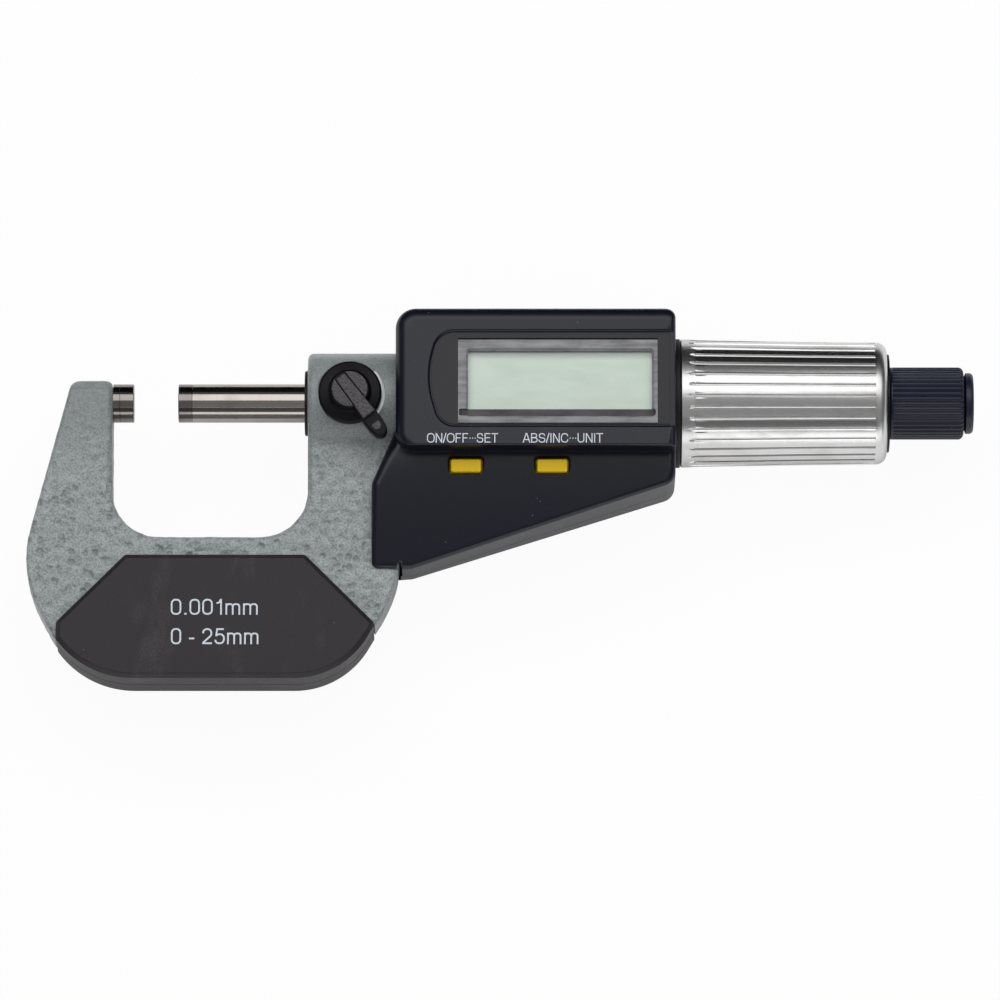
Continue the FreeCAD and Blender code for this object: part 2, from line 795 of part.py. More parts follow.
def make_grips():
    """Two moulded plates that wrap the web's lower edge and meet at mid thickness."""
    for node, low, high, face in (
        ("grip_front", "axis_y", "grip_front_level", "grip_front_level"),
        ("grip_rear", "grip_back_level", "axis_y", "grip_back_level"),
    ):
        skin = slab(node + "_skin", FRAME_CORNERS, low, high)
        zone = slab(node + "_zone", GRIP_ZONE, low, high)
        plate = common(node + "_plate", skin, zone)
        plate = broken_edges("Part::Chamfer", node + "_edges", plate, "grip_edge", at_level(face))
        core = inset_web(node + "_core", "web_back", "web_half")
        bores = []
        for place in ("grip_screw_left", "grip_screw_right"):
            name = f"{node}_{place}"
            if node == "grip_front":
                bores.append(grip_screw_bar(name, "screw_radius",
                                            "web_half", "web_half + screw_bite", place))
            else:
                bores.append(grip_screw_bar(name, "screw_radius + free_gap",
                                            "grip_back_level", "web_back", place))
                bores.append(grip_screw_bar(name + "_sink", "screw_head_radius + free_gap",
                                            "grip_back_level",
                                            "grip_back_level + screw_head_thick", place))
        piece(node, cut(node + "_body", plate, core, *bores))
    screws = []
    for place in ("grip_screw_left", "grip_screw_right"):
        head = grip_screw_bar(place + "_head", "screw_head_radius", "grip_back_level",
                              "grip_back_level + screw_head_thick", place)
        shank = grip_screw_bar(place + "_shank", "screw_radius",
                               "grip_back_level", "web_half + screw_bite", place)
        slot = block(place + "_slot", f"{place} - screw_head_radius", f"{place} + screw_head_radius",
                     "grip_screw_y - screw_slot_width / 2", "grip_screw_y + screw_slot_width / 2",
                     "grip_back_level", "grip_back_level + screw_head_thick / 2")
        screws.append(cut(place + "_screw", joined(place + "_blank", head, shank), slot))
    piece("grip_screws", grouped("grip_screw_pair", *screws))


def make_anvil():
    """Pressed-in anvil with a carbide face."""
    piece("anvil", turned("anvil_body", [
        ("anvil_shank_end", "axis_y"),
        ("anvil_tip_back", "axis_y"),
        ("anvil_tip_back", "spindle_radius"),
        ("anvil_base", "spindle_radius"),
        ("anvil_base", "anvil_shank_radius"),
        ("anvil_shank_end", "anvil_shank_radius"),
    ]))
    piece("anvil_tip", rod("anvil_tip_body", "spindle_radius", "anvil_tip_back", "axis_y"))
    piece("wiper_ring", ring("wiper_body", "spindle_bore", "wiper_radius", "wiper_front", "wiper_back"))


def make_spindle():
    """Ground spindle: measuring shank, threaded stretch and keyway."""
    blank = turned("spindle_blank", [
        ("tip_back", "axis_y"),
        ("thread_end", "axis_y"),
        ("thread_end", "thread_radius"),
        ("thread_start", "thread_radius"),
        ("thread_start", "spindle_radius"),
        ("tip_back", "spindle_radius"),
    ])
    keyway = block("keyway", "keyway_start", "thread_end + cut_over",
                   "0 - keyway_width / 2", "keyway_width / 2",
                   "keyway_floor", "thread_radius + cut_over")
    piece("spindle", cut("spindle_body", blank, keyway))
    piece("spindle_tip", rod("spindle_tip_body", "spindle_radius", "gap_shown", "tip_back"))


def make_barrel():
    """Fixed barrel with its nut, adjusting nut, rear bush and clip."""
    piece("sleeve", turned("sleeve_body", [
        ("boss_inside", "sleeve_bore"),
        ("sleeve_end", "sleeve_bore"),
        ("sleeve_end", "sleeve_radius"),
        ("clip_end", "sleeve_radius"),
        ("clip_end", "clip_seat"),
        ("clip_start", "clip_seat"),
        ("clip_start", "sleeve_radius"),
        ("boss_inside", "sleeve_radius"),
    ]))
    piece("thread_nut", ring("nut_body", "nut_bore", "sleeve_bore", "nut_start", "nut_end"))
    piece("rear_bush", ring("bush_body", "nut_bore", "sleeve_bore", "bush_start", "bush_end"))
    piece("adjusting_nut", ring("adjuster_body", "sleeve_radius", "adjuster_radius",
                                "adjuster_start", "adjuster_end"))
    piece("thimble_clip", ring("clip_body", "clip_seat", "clip_radius", "clip_start", "clip_end"))
    piece("stator_carrier", ring("carrier_body", "sleeve_radius", "encoder_radius",
                                 "carrier_start", "stator_start"))
    piece("encoder_stator", ring("stator_body", "encoder_inner", "encoder_radius",
                                 "stator_start", "stator_end"))
    piece("thimble_ring", ring("thimble_ring_body", "core_room", "thimble_radius",
                               "box_right", "ring_end"))


# Half the diagonal of a square bar, as a share of its side
HALF_DIAGONAL = math.sqrt(0.5)


def grooved(name, blank, count, start, stop, front_radius, back_radius, width, turned_square):
    """Straight grooves cut along a tapered grip, evenly round it."""
    cutters = []
    total = int(number(count))
    slope = math.degrees(math.atan2(number(back_radius) - number(front_radius),
                                    number("thimble_end") - number("thimble_start")))
    lean = slope if front_radius != back_radius else 0
    for i in range(total):
        bar = doc.addObject("Part::Box", f"{name}_groove_{i}")
        tie(bar, Length=f"{stop} - ( {start} )", Width=width, Height=width)
        turn = Rotation(Vector(1, 0, 0), 360 * i / total)
        tilt = Rotation(Vector(0, 1, 0), -lean)
        square = Rotation(Vector(1, 0, 0), 45 if turned_square else 0)
        side = number(width) / 2
        depth = number(width) * HALF_DIAGONAL if turned_square else number("groove_deep")
        radius = number(front_radius) - depth
        corner = Vector(0, 0, 0) if turned_square else Vector(0, -side, 0)
        bar.Placement = Placement(turn.multVec(Vector(number(start), 0, radius)) + turn.multVec(corner),
                                  turn * tilt * square)
        cutters.append(bar)
    return cut(name, blank, *cutters)


def make_thimble():
    """Grooved outer thimble on a core that turns on the barrel and drives the spindle."""
    blank = turned("thimble_blank", [
        ("thimble_start", "thimble_bore"),
        ("thimble_inner_end", "thimble_bore"),
        ("thimble_inner_end", "ratchet_screw_radius"),
        ("stem_end", "ratchet_screw_radius"),
        ("stem_end", "stem_radius"),
        ("thimble_end", "stem_radius"),
        ("thimble_end", "thimble_end_radius", "thimble_round"),
        ("thimble_start", "thimble_radius"),
    ])
    piece("thimble", grooved("thimble_body", blank, "groove_count", "groove_start", "groove_stop",
                             "thimble_radius", "thimble_end_radius", "groove_width", False))
    core = turned("core_blank", [
        ("core_start", "core_bore"),
        ("core_shoulder", "core_bore"),
        ("core_shoulder", "core_room_bore"),
        ("driver_start", "core_room_bore"),
        ("driver_start", "nut_bore"),
        ("driver_end", "nut_bore"),
        ("driver_end", "thimble_bore"),
        ("driver_start", "thimble_bore"),
        ("driver_start", "core_radius"),
        ("core_start", "core_radius"),
    ])
    slot = block("key_slot", "driver_start", "driver_end", "0 - key_width / 2", "key_width / 2",
                 "axis_y", "key_top")
    piece("thimble_core", cut("core_body", core, slot))
    piece("spindle_key", block("key_body", "driver_start", "driver_end", "0 - key_width / 2",
                               "key_width / 2", "key_low", "key_top"))
    piece("encoder_rotor", ring("rotor_body", "encoder_inner", "encoder_radius",
                                "rotor_start", "core_start"))


def make_ratchet():
    """Spring-loaded ratchet knob on the thimble's stem."""
    blank = turned("knob_blank", [
        ("knob_start", "knob_bearing"),
        ("knob_floor", "knob_bearing"),
        ("knob_floor", "knob_bore"),
        ("knob_end", "knob_bore"),
        ("knob_end", "knob_radius", "knob_edge"),
        ("knob_start", "knob_radius"),
    ])
    piece("ratchet_knob", grooved("knob_body", blank, "knob_groove_count", "knob_start", "knob_end",
                                  "knob_radius", "knob_radius", "knob_groove_deep", True))
    piece("ratchet_cap", turned("cap_body", [
        ("knob_back", "axis_y"),
        ("cap_end", "axis_y"),
        ("cap_end", "cap_radius", "cap_edge"),
        ("knob_end", "cap_radius"),
        ("knob_end", "knob_bore"),
        ("knob_back", "knob_bore"),
    ]))
    plate = ring("plate_blank", "ratchet_screw_radius", "plate_radius", "stem_end", "plate_end")
    teeth = []
    total = int(number("plate_teeth"))
    for i in range(total):
        gap = doc.addObject("Part::Box", f"tooth_gap_{i}")
        tie(gap, Length="tooth_deep", Width="tooth_deep * 2", Height="plate_radius")
        turn = Rotation(Vector(1, 0, 0), 360 * i / total)
        seat = Vector(number("stem_end"), 0, number("stem_radius"))
        gap.Placement = Placement(turn.multVec(seat), turn)
        teeth.append(gap)
    piece("ratchet_plate", cut("plate_body", plate, *teeth))
    helix = doc.addObject("Part::Helix", "spring_line")
    tie(helix, Radius="spring_radius", Height="spring_length - 2 * spring_wire",
        Pitch="(spring_length - 2 * spring_wire) / spring_turns")
    section = doc.addObject("Part::Circle", "spring_section")
    section.Placement = Placement(Vector(number("spring_radius"), 0, 0), Rotation(Vector(1, 0, 0), 90))
    tie(section, Radius="spring_wire")
    wire = doc.addObject("Part::Sweep", "spring_coil")
    wire.Sections = [section]
    wire.Spine = (helix, ["Edge1"])
    wire.Solid = True
    wire.Frenet = True
    wire.Placement = Placement(Vector(0, 0, 0), Rotation(Vector(0, 1, 0), 90))
    piece("ratchet_spring", move(wire, x="plate_end + spring_wire"))
    shank = rod("ratchet_shank", "ratchet_screw_radius", "thimble_inner_end", "spring_end")
    head = rod("ratchet_head", "ratchet_head_radius", "spring_end", "ratchet_head_end")
    piece("ratchet_screw", joined("ratchet_screw_body", shank, head))


def make_lock():
    """Clamp lever on the boss with its stud and brass shoe."""
    place = {"x": "lock_place"}
    disk = disc("lock_disc", "lock_disc_radius", "lock_disc_low", "lock_disc_top")
    hub = disc("lock_hub", "lock_hub_radius", "lock_disc_top", "lock_hub_top")
    tongue = block("lever_tongue", "axis_y", "lever_length - lever_width / 2",
                   "0 - lever_width / 2", "lever_width / 2",
                   "lock_disc_low + lever_lift", "lock_disc_top")
    tip = disc("lever_tip", "lever_width / 2", "lock_disc_low + lever_lift", "lock_disc_top",
               x="lever_length - lever_width / 2")
    bar = block("lever_bar", "0 - lock_hub_radius", "lever_bar_length", "0 - lever_bar_width / 2",
                "lever_bar_width / 2", "lock_disc_top", "lock_disc_top + lever_bar_height")
    whole = joined("lock_blank", disk, hub, tongue, tip, bar)
    bore = disc("lock_stud_hole", "lock_stud_radius", "lock_disc_low", "lock_hub_top")
    knob = cut("lock_knob_body", whole, bore)
    tie(knob, Placement__Rotation__Angle="lock_angle")
    piece("lock_knob", move(knob, **place))
    piece("lock_cap", disc("lock_cap_body", "lock_cap_radius", "lock_hub_top",
                           "lock_hub_top + lock_cap_height", **place))
    piece("lock_stud", disc("lock_stud_body", "lock_stud_radius", "stud_low", "lock_hub_top", **place))
    piece("lock_shoe", disc("lock_shoe_body", "lock_stud_radius", "shoe_low",
                            "shoe_low + lock_shoe_thick", **place))


WING_CORNERS = [
    ("box_left", "wing_join_y"),
    ("wing_left", "wing_shoulder_y", "wing_corner"),
    ("wing_left", "wing_y", "wing_corner"),
    ("wing_flat_end", "wing_y", "wing_corner"),
    ("box_right", "wing_right_y", "wing_right_round"),
    ("box_right", "wing_join_y"),
]

WING_ROOM = [
    ("wing_cavity_left", "cavity_low"),
    ("wing_cavity_left", "wing_cavity_low"),
    ("wing_cavity_flat", "wing_cavity_low"),
    ("cavity_right", "wing_cavity_right_y"),
    ("cavity_right", "cavity_low"),
]

BOX_CORNERS = [
    ("box_left", "box_y", "box_corner"),
    ("box_right", "box_y", "box_corner"),
    ("box_right", "box_top", "box_corner"),
    ("box_left", "box_top", "box_corner"),
]

POSTS = [
    ("post_left", "post_high", "box_ceiling", "box_z"),
    ("post_right", "post_high", "box_ceiling", "box_z"),
    ("post_corner", "post_corner_y", "wing_ceiling", "wing_z"),
    ("post_foot", "post_foot_y", "wing_ceiling", "wing_z"),
    ("frame_screw_x", "frame_screw_y", "wing_ceiling", "wing_z"),
]


def frame_room(name):
    """The space that the frame and the turning parts need in the shells."""
    return [
        rod(name + "_boss_room", "boss_room", "boss_face", "boss_inside + seam_fit"),
        block(name + "_web_room", "wing_left - cut_over", "frame_room_x", "frame_low", "axis_y",
              "0 - frame_room_z", "frame_room_z"),
        rod(name + "_core_room", "core_room", "cavity_right - cut_over", "box_right"),
    ]


def film_corners(left, shoulder, right, low, top):
    """Outline of the film or of its recess, with a bowed left side."""
    return [
        (shoulder, low, "film_corner"),
        (right, low),
        (right, top),
        (shoulder, top, "film_corner"),
        (left, "film_middle", "film_nose_round"),
    ]


def make_housing():
    """Front and rear shells around the barrel, the display and the frame's hip."""
    box = slab("front_box", BOX_CORNERS, "split_z", "box_front")
    box = broken_edges("Part::Fillet", "front_box_edges", box, "box_edge", at_level("box_front"))
    wing = slab("front_wing", WING_CORNERS, "split_z", "wing_front")
    wing = broken_edges("Part::Chamfer", "front_wing_edges", wing, "wing_edge", at_level("wing_front"))
    skin = joined("front_skin", box, wing)
    rooms = [
        block("box_room", "cavity_left", "cavity_right", "cavity_low", "cavity_top",
              "split_z", "box_ceiling"),
        slab("wing_room", WING_ROOM, "split_z", "wing_ceiling"),
        slab("film_recess_room",
             film_corners("film_left", "film_shoulder", "film_right", "film_y", "film_top"),
             "film_level", "box_front"),
        block("window_room", "window_left", "window_right", "window_y", "window_top",
              "box_ceiling", "film_level"),
    ]
    shell = cut("front_shell", skin, *rooms)
    posts = []
    holes = []
    for i, (x, y, top, back) in enumerate(POSTS[:4]):
        posts.append(disc(f"front_post_{i}", "post_radius", "split_z", top, x=x, y=y))
        holes.append(disc(f"front_post_hole_{i}", "case_screw_radius",
                          "split_z", f"{top} - shell_wall", x=x, y=y))
    x, y, top, back = POSTS[4]
    holes.append(disc("front_frame_hole", "case_screw_radius", "frame_room_z", top, x=x, y=y))
    for i, place in enumerate(("button_first", "button_second")):
        holes.append(block(f"button_hole_{i}", f"{place} - button_hole_length / 2",
                           f"{place} + button_hole_length / 2", "button_y - button_hole_width / 2",
                           "button_y + button_hole_width / 2", "wing_ceiling", "wing_front"))
    solid = joined("front_solid", shell, *posts)
    piece("housing_front", cut("housing_front_body", solid, *holes, *frame_room("front")))

    box = slab("rear_box", BOX_CORNERS, "box_z", "split_z")
    box = broken_edges("Part::Fillet", "rear_box_edges", box, "box_edge", at_level("box_z"))
    wing = slab("rear_wing", WING_CORNERS, "wing_z", "split_z")
    wing = broken_edges("Part::Chamfer", "rear_wing_edges", wing, "wing_edge", at_level("wing_z"))
    skin = joined("rear_skin", box, wing)
    rooms = [
        block("rear_box_room", "cavity_left", "cavity_right", "cavity_low", "cavity_top",
              "box_floor", "split_z"),
        slab("rear_wing_room", WING_ROOM, "wing_floor", "split_z"),
    ]
    shell = cut("rear_shell", skin, *rooms)
    solids = [disc("battery_well", "well_outer", "wing_z", "battery_z", x="battery_x", y="battery_y")]
    holes = [
        disc("battery_room", "well_radius", "wing_z", "battery_z", x="battery_x", y="battery_y"),
        disc("cover_seat", "cover_room", "wing_z", "wing_floor", x="battery_x", y="battery_y"),
        block("contact_slot", "battery_x", "battery_x + well_outer",
              "battery_y - contact_width / 2 - run_fit", "battery_y + contact_width / 2 + run_fit",
              "battery_low + contact_width / 2", "battery_z"),
    ]
    for i, (x, y, top, back) in enumerate(POSTS):
        if i < 4:
            solids.append(disc(f"rear_post_{i}", "rear_post_radius", back, "split_z", x=x, y=y))
        holes.append(disc(f"rear_post_hole_{i}", "case_screw_radius + free_gap", back, "split_z",
                          x=x, y=y))
        holes.append(disc(f"rear_head_room_{i}", "case_head_radius + free_gap", back,
                          f"{back} + case_head_thick", x=x, y=y))
    solid = joined("rear_solid", shell, *solids)
    piece("housing_rear", cut("housing_rear_body", solid, *holes, *frame_room("rear")))

    screws = []
    for i, (x, y, top, back) in enumerate(POSTS):
        head = disc(f"case_head_{i}", "case_head_radius", back, f"{back} + case_head_thick", x=x, y=y)
        shank = disc(f"case_shank_{i}", "case_screw_radius", back, f"{top} - 2 * shell_wall", x=x, y=y)
        if i == 4:
            shank = disc(f"case_shank_{i}_long", "case_screw_radius", back, f"{top} - free_gap", x=x, y=y)
        slot = block(f"case_slot_{i}", f"{x} - case_head_radius", f"{x} + case_head_radius",
                     f"{y} - screw_slot_width / 2", f"{y} + screw_slot_width / 2",
                     back, f"{back} + case_head_thick / 2")
        screws.append(cut(f"case_screw_{i}", joined(f"case_blank_{i}", head, shank), slot))
    piece("housing_screws", grouped("housing_screw_set", *screws))


def make_display():
    """Label film, clear window, glass in its holder, contact strip, board and chip."""
    film = slab("film_blank",
                film_corners("film_in_left", "film_in_shoulder", "film_in_right",
                             "film_in_low", "film_in_top"),
                "film_level", "film_level + film_thick")
    view = block("film_view", "view_left", "view_right", "view_low", "view_top",
                 "film_level", "film_level + film_thick")
    piece("display_film", cut("film_body", film, view))
    piece("display_window", block("window_body", "window_left + film_fit", "window_right - film_fit",
                                  "window_y + film_fit", "window_top - film_fit",
                                  "window_level", "film_level"))
    piece("lcd_glass", block("glass_body", "glass_left", "glass_right", "glass_y", "glass_top",
                             "glass_level", "box_ceiling"))
    frame = block("holder_blank", "holder_left", "holder_right", "holder_low", "holder_top",
                  "board_level", "box_ceiling")
    seat = block("holder_seat", "glass_left", "glass_right", "glass_y", "glass_top",
                 "board_level", "box_ceiling")
    piece("lcd_holder", cut("holder_body", frame, seat))
    piece("lcd_strip", block("strip_body", "glass_left + strip_width", "glass_right - strip_width",
                             "glass_top - strip_width", "glass_top", "board_level", "glass_level"))
    board = block("board_blank", "board_left", "cavity_right - free_gap", "board_y", "board_high",
                  "board_under", "board_level")
    piece("circuit_board", board)
    piece("measuring_chip", block("chip_body", "chip_place - chip_size / 2", "chip_place + chip_size / 2",
                                  "0 - chip_size / 2", "chip_size / 2", "board_under - chip_thick",
                                  "board_under"))


def make_buttons():
    """Two push buttons over a rubber mat on a small switch board."""
    pockets = []
    for node, place in (("button_on_off", "button_first"), ("button_unit", "button_second")):
        cap = block(node + "_cap", f"{place} - button_length / 2", f"{place} + button_length / 2",
                    "button_y - button_width / 2", "button_y + button_width / 2",
                    "button_under", "button_top")
        flange = block(node + "_flange", f"{place} - flange_length / 2", f"{place} + flange_length / 2",
                       "button_y - flange_width / 2", "button_y + flange_width / 2",
                       "button_under", "wing_ceiling")
        piece(node, joined(node + "_body", cap, flange))
        pockets.append(block(node + "_pocket",
                             f"{place} - pocket_length / 2", f"{place} + pocket_length / 2",
                             "button_y - pocket_width / 2", "button_y + pocket_width / 2",
                             "pad_floor", "wing_ceiling"))
    mat = block("pad_blank", "pad_left", "pad_right", "pad_low", "pad_high",
                "key_board_top", "wing_ceiling")
    piece("button_pad", cut("pad_body", mat, *pockets))
    piece("key_board", block("key_board_body", "pad_left", "pad_right", "pad_low", "pad_high",
                             "key_board_low", "key_board_top"))


def make_battery():
    """Button cell with its contacts, screw-in cover and seal."""
    place = {"x": "battery_x", "y": "battery_y"}
    piece("battery", disc("battery_body", "battery_radius", "battery_low", "battery_z", **place))
    cover = disc("cover_blank", "cover_radius", "wing_z", "cover_top", **place)
    slot = block("cover_slot", "battery_x - cover_slot_length / 2", "battery_x + cover_slot_length / 2",
                 "battery_y - cover_slot_width / 2", "battery_y + cover_slot_width / 2",
                 "wing_z", "wing_z + cover_slot_deep")
    piece("battery_cover", cut("cover_body", cover, slot))
    seal = disc("seal_blank", "cover_radius", "seal_low", "wing_floor", **place)
    hole = disc("seal_hole", "seal_inner", "seal_low", "wing_floor", **place)
    piece("battery_seal", cut("seal_body", seal, hole))
    piece("contact_minus", block("minus_body", "battery_x - well_outer", "battery_x + contact_width",
                                 "battery_y - contact_width / 2", "battery_y + contact_width / 2",
                                 "battery_z", "battery_z + contact_thick"))
    piece("contact_plus", block("plus_body", "battery_x + battery_radius",
                                "battery_x + battery_radius + contact_thick",
                                "battery_y - contact_width / 2", "battery_y + contact_width / 2",
                                "battery_low + contact_width / 2", "battery_z"))


def check_and_write():
    """Stop on any failed object, then write one STEP file for each sub-part."""
    doc.recompute()
    for thing in doc.Objects:
        if "Invalid" in thing.State or "Error" in thing.State:
            raise RuntimeError(f"{thing.Name} failed: {thing.State}")
    os.makedirs("parts", exist_ok=True)
    for node, thing in pieces.items():
        shape = thing.Shape
        if shape.isNull() or not shape.isValid() or shape.Volume <= 0:
            raise RuntimeError(f"{node} has no valid solid")
        print(f"{node:16s} solids {len(shape.Solids)} volume {shape.Volume:10.2f} "
              f"x {shape.BoundBox.XMin:7.2f} {shape.BoundBox.XMax:7.2f} "
              f"z {shape.BoundBox.ZMin:6.2f} {shape.BoundBox.ZMax:6.2f}")
    for node, thing in pieces.items():
        thing.Shape.exportStep(f"parts/{node}.step")


fill_sheet()
make_frame()
make_grips()
make_anvil()
make_spindle()
make_barrel()
make_thimble()
make_ratchet()
make_lock()
make_housing()
make_display()
make_buttons()
make_battery()
check_and_write()
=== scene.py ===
"""Looks of a digital outside micrometer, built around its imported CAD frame.

Every surface is worked out in millimetres and put into the mesh in metres. +X runs along
the spindle towards the thimble, +Y away from the grips and +Z is the display's side.
"""

import logging
import math
from dataclasses import dataclass, field
from enum import Enum
from typing import ClassVar

import bmesh
import bpy
import numpy as np
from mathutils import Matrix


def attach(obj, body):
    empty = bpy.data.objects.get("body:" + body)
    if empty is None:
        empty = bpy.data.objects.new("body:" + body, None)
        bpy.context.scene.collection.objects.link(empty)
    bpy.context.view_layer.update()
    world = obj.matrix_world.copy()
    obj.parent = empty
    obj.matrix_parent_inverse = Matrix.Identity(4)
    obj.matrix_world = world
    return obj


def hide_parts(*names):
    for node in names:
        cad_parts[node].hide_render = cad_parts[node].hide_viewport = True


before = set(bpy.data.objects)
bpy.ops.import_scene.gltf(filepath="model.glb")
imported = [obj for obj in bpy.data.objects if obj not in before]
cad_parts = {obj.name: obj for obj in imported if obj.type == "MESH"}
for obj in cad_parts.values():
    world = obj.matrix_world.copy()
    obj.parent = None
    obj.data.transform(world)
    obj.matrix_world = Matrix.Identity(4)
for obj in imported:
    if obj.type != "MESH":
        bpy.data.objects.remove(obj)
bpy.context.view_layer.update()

MM = 0.001
SHARP_ANGLE = math.radians(32)

Corners = list[tuple[float, float, float]]
Box = tuple[float, float, float, float]
Colour = tuple[float, float, float]
Strokes = list[tuple[list[tuple[float, ...]], bool]]

log = logging.getLogger("micrometer")


class Axis(Enum):
    """The line that a turned piece is turned about."""

    ALONG_X = "x"
    ALONG_Z = "z"


class Carve(Enum):
    """What a tool solid does to the solid it meets."""

    REMOVE = "DIFFERENCE"
    ADD = "UNION"


# Outlines and surfaces


def unit(vectors: np.ndarray) -> np.ndarray:
    """Each row divided by its own length."""
    return vectors / np.maximum(np.linalg.norm(vectors, axis=-1, keepdims=True), 1e-12)


def rounded(corners: Corners, closed: bool = True, step: float = 7.0) -> np.ndarray:
    """A polyline with rounded corners.

    At a corner of radius r and turn t, the arc starts r tan(t / 2) before the corner. Its points
    are the arc's centre plus the start's offset turned evenly from 0 to t.

    Args:
        corners: x, y and radius of each corner, anticlockwise when closed.
        closed: whether the last corner joins the first.
        step: the most degrees between two points of an arc.

    Returns:
        The points, one row each.
    """
    table = np.array(corners, float)
    here, radius = table[:, :2], table[:, 2]
    into = unit(here - np.roll(here, 1, 0))
    out = unit(np.roll(here, -1, 0) - here)
    turn = np.arctan2(into[:, 0] * out[:, 1] - into[:, 1] * out[:, 0], (into * out).sum(1))
    runs = []
    for i, (point, r, t) in enumerate(zip(here, radius, turn)):
        if r <= 0 or abs(t) < 1e-6 or (not closed and i in (0, len(here) - 1)):
            runs.append(point[None])
            continue
        start = point - into[i] * r * math.tan(abs(t) / 2)
        side = math.copysign(1.0, t)
        centre = start + np.array([-into[i, 1], into[i, 0]]) * r * side
        angle = np.linspace(0, t, max(2, math.ceil(abs(math.degrees(t)) / step)) + 1)
        x, y = start - centre
        runs.append(centre + np.stack([x * np.cos(angle) - y * np.sin(angle),
                                       x * np.sin(angle) + y * np.cos(angle)], 1))
    return np.concatenate(runs)


def inward(loop: np.ndarray) -> np.ndarray:
    """Mitred normals that point into a closed anticlockwise loop.

    The normal of a point is the sum of its two sides' normals over 1 plus their product, so
    that a step along it moves both sides by the same amount.

    Args:
        loop: points of the loop.

    Returns:
        One vector for each point.
    """
    along = unit(np.roll(loop, -1, 0) - loop)
    left = np.stack([-along[:, 1], along[:, 0]], 1)
    before = np.roll(left, 1, 0)
    return (left + before) / (1 + (left * before).sum(1, keepdims=True))


def tapered(loop: np.ndarray, levels: list[tuple[float, float]]) -> np.ndarray:
    """Rings of a slab whose side follows a list of (inset, height) levels.

    Ring k is the loop moved inwards by the k-th inset and lifted to the k-th height.

    Args:
        loop: the slab's outline.
        levels: inset and height from the lowest ring up.

    Returns:
        An array of rings, each with one row of x, y, z for each point.
    """
    steps = np.array(levels, float)
    flat = loop[None] + inward(loop)[None] * steps[:, 0, None, None]
    lift = np.broadcast_to(steps[:, 1, None, None], flat.shape[:2] + (1,))
    return np.concatenate([flat, lift], 2)


def round_edge(radius: float, height: float, top: bool = True, steps: int = 5) -> list[tuple[float, float]]:
    """Levels of a quarter round at a slab's edge.

    At the angle a the inset is radius (1 - cos a) and the depth under the face radius (1 - sin a).

    Args:
        radius: the round's radius.
        height: the face's height.
        top: whether the face looks up.
        steps: spans of the round.

    Returns:
        Inset and height pairs, from the lowest up.
    """
    angle = np.linspace(0, math.pi / 2, steps + 1)
    inset = radius * (1 - np.cos(angle))
    depth = radius * (1 - np.sin(angle))
    if top:
        return list(zip(inset, height - depth))
    return list(zip(inset[::-1], (height + depth)[::-1]))


def rolled(loop: np.ndarray, radius: np.ndarray, start: float, face: float, gap: float = 0.0,
           steps: int = 6) -> np.ndarray:
    """Rings of a slab whose side rolls over onto a face with a radius of its own at each point.

    At the angle a a point is inset by r (1 - cos a) and is r (1 - sin a) short of the face.

    Args:
        loop: the slab's outline.
        radius: r at each point of it.
        start: height of the side's plain end.
        face: height of the face, above or below the start.
        gap: size of a small chamfer at the plain end.
        steps: spans of the round.

    Returns:
        An array of rings, from the lowest up.
    """
    way = math.copysign(1.0, face - start)
    angle = np.linspace(0, math.pi / 2, steps + 1)[:, None]
    inset = radius * (1 - np.cos(angle))
    height = face - way * radius * (1 - np.sin(angle))
    row = (1, len(loop))
    inset = np.concatenate([np.full(row, gap), np.zeros(row), inset])
    height = np.concatenate([np.full(row, start), np.full(row, start + way * gap), height])
    rings = np.concatenate([loop + inward(loop) * inset[..., None], height[..., None]], 2)
    if gap == 0:
        rings = rings[1:]
    return rings if way > 0 else rings[::-1]


def lumps(points: np.ndarray, size: float, seed: int) -> np.ndarray:
    """Soft lumps in space, from 0 to 1.

    Seeded random numbers stand on a cube lattice. Between them the value follows, along each
    axis, the smooth step 3 t^2 - 2 t^3 of the share t.

    Args:
        points: places in mm, one row each.
        size: the lattice's pitch in mm.
        seed: seed of the random numbers.

    Returns:
        One value for each point.
    """
    count = 48
    lattice = np.random.default_rng(seed).random((count, count, count))
    place = points / size
    cell = np.floor(place).astype(int)
    share = place - cell
    share = share * share * (3 - 2 * share)
    total = np.zeros(len(points))
    for corner in np.ndindex(2, 2, 2):
        weight = np.where(np.array(corner), share, 1 - share).prod(1)
        x, y, z = ((cell + corner) % count).T
        total += weight * lattice[x, y, z]
    return total


def turned(profile: np.ndarray, spin: np.ndarray, axis: Axis,
           centre: tuple[float, float] = (0, 0)) -> np.ndarray:
    """Rings of a turned surface.

    A profile point (station, radius) becomes a circle: station along the axis, radius cos a
    and radius sin a across it.

    Args:
        profile: stations and radii in the order in which the surface is walked.
        spin: angles round the axis.
        axis: the axis of turning.
        centre: where a Z axis stands.

    Returns:
        An array of rings.
    """
    station = np.repeat(profile[:, :1], len(spin), 1)
    across = profile[:, 1:] * np.cos(spin)
    aside = profile[:, 1:] * np.sin(spin)
    if axis is Axis.ALONG_X:
        return np.stack([station, across, aside], 2)
    return np.stack([across + centre[0], aside + centre[1], station], 2)


def circle(count: int = 96) -> np.ndarray:
    """Angles of a full turn without its last point."""
    return np.linspace(0, 2 * math.pi, count, endpoint=False)


def rectangle(left: float, right: float, low: float, high: float, radius: float = 0.0) -> Corners:
    """Corners of an upright rectangle, anticlockwise."""
    return [(left, low, radius), (right, low, radius), (right, high, radius), (left, high, radius)]


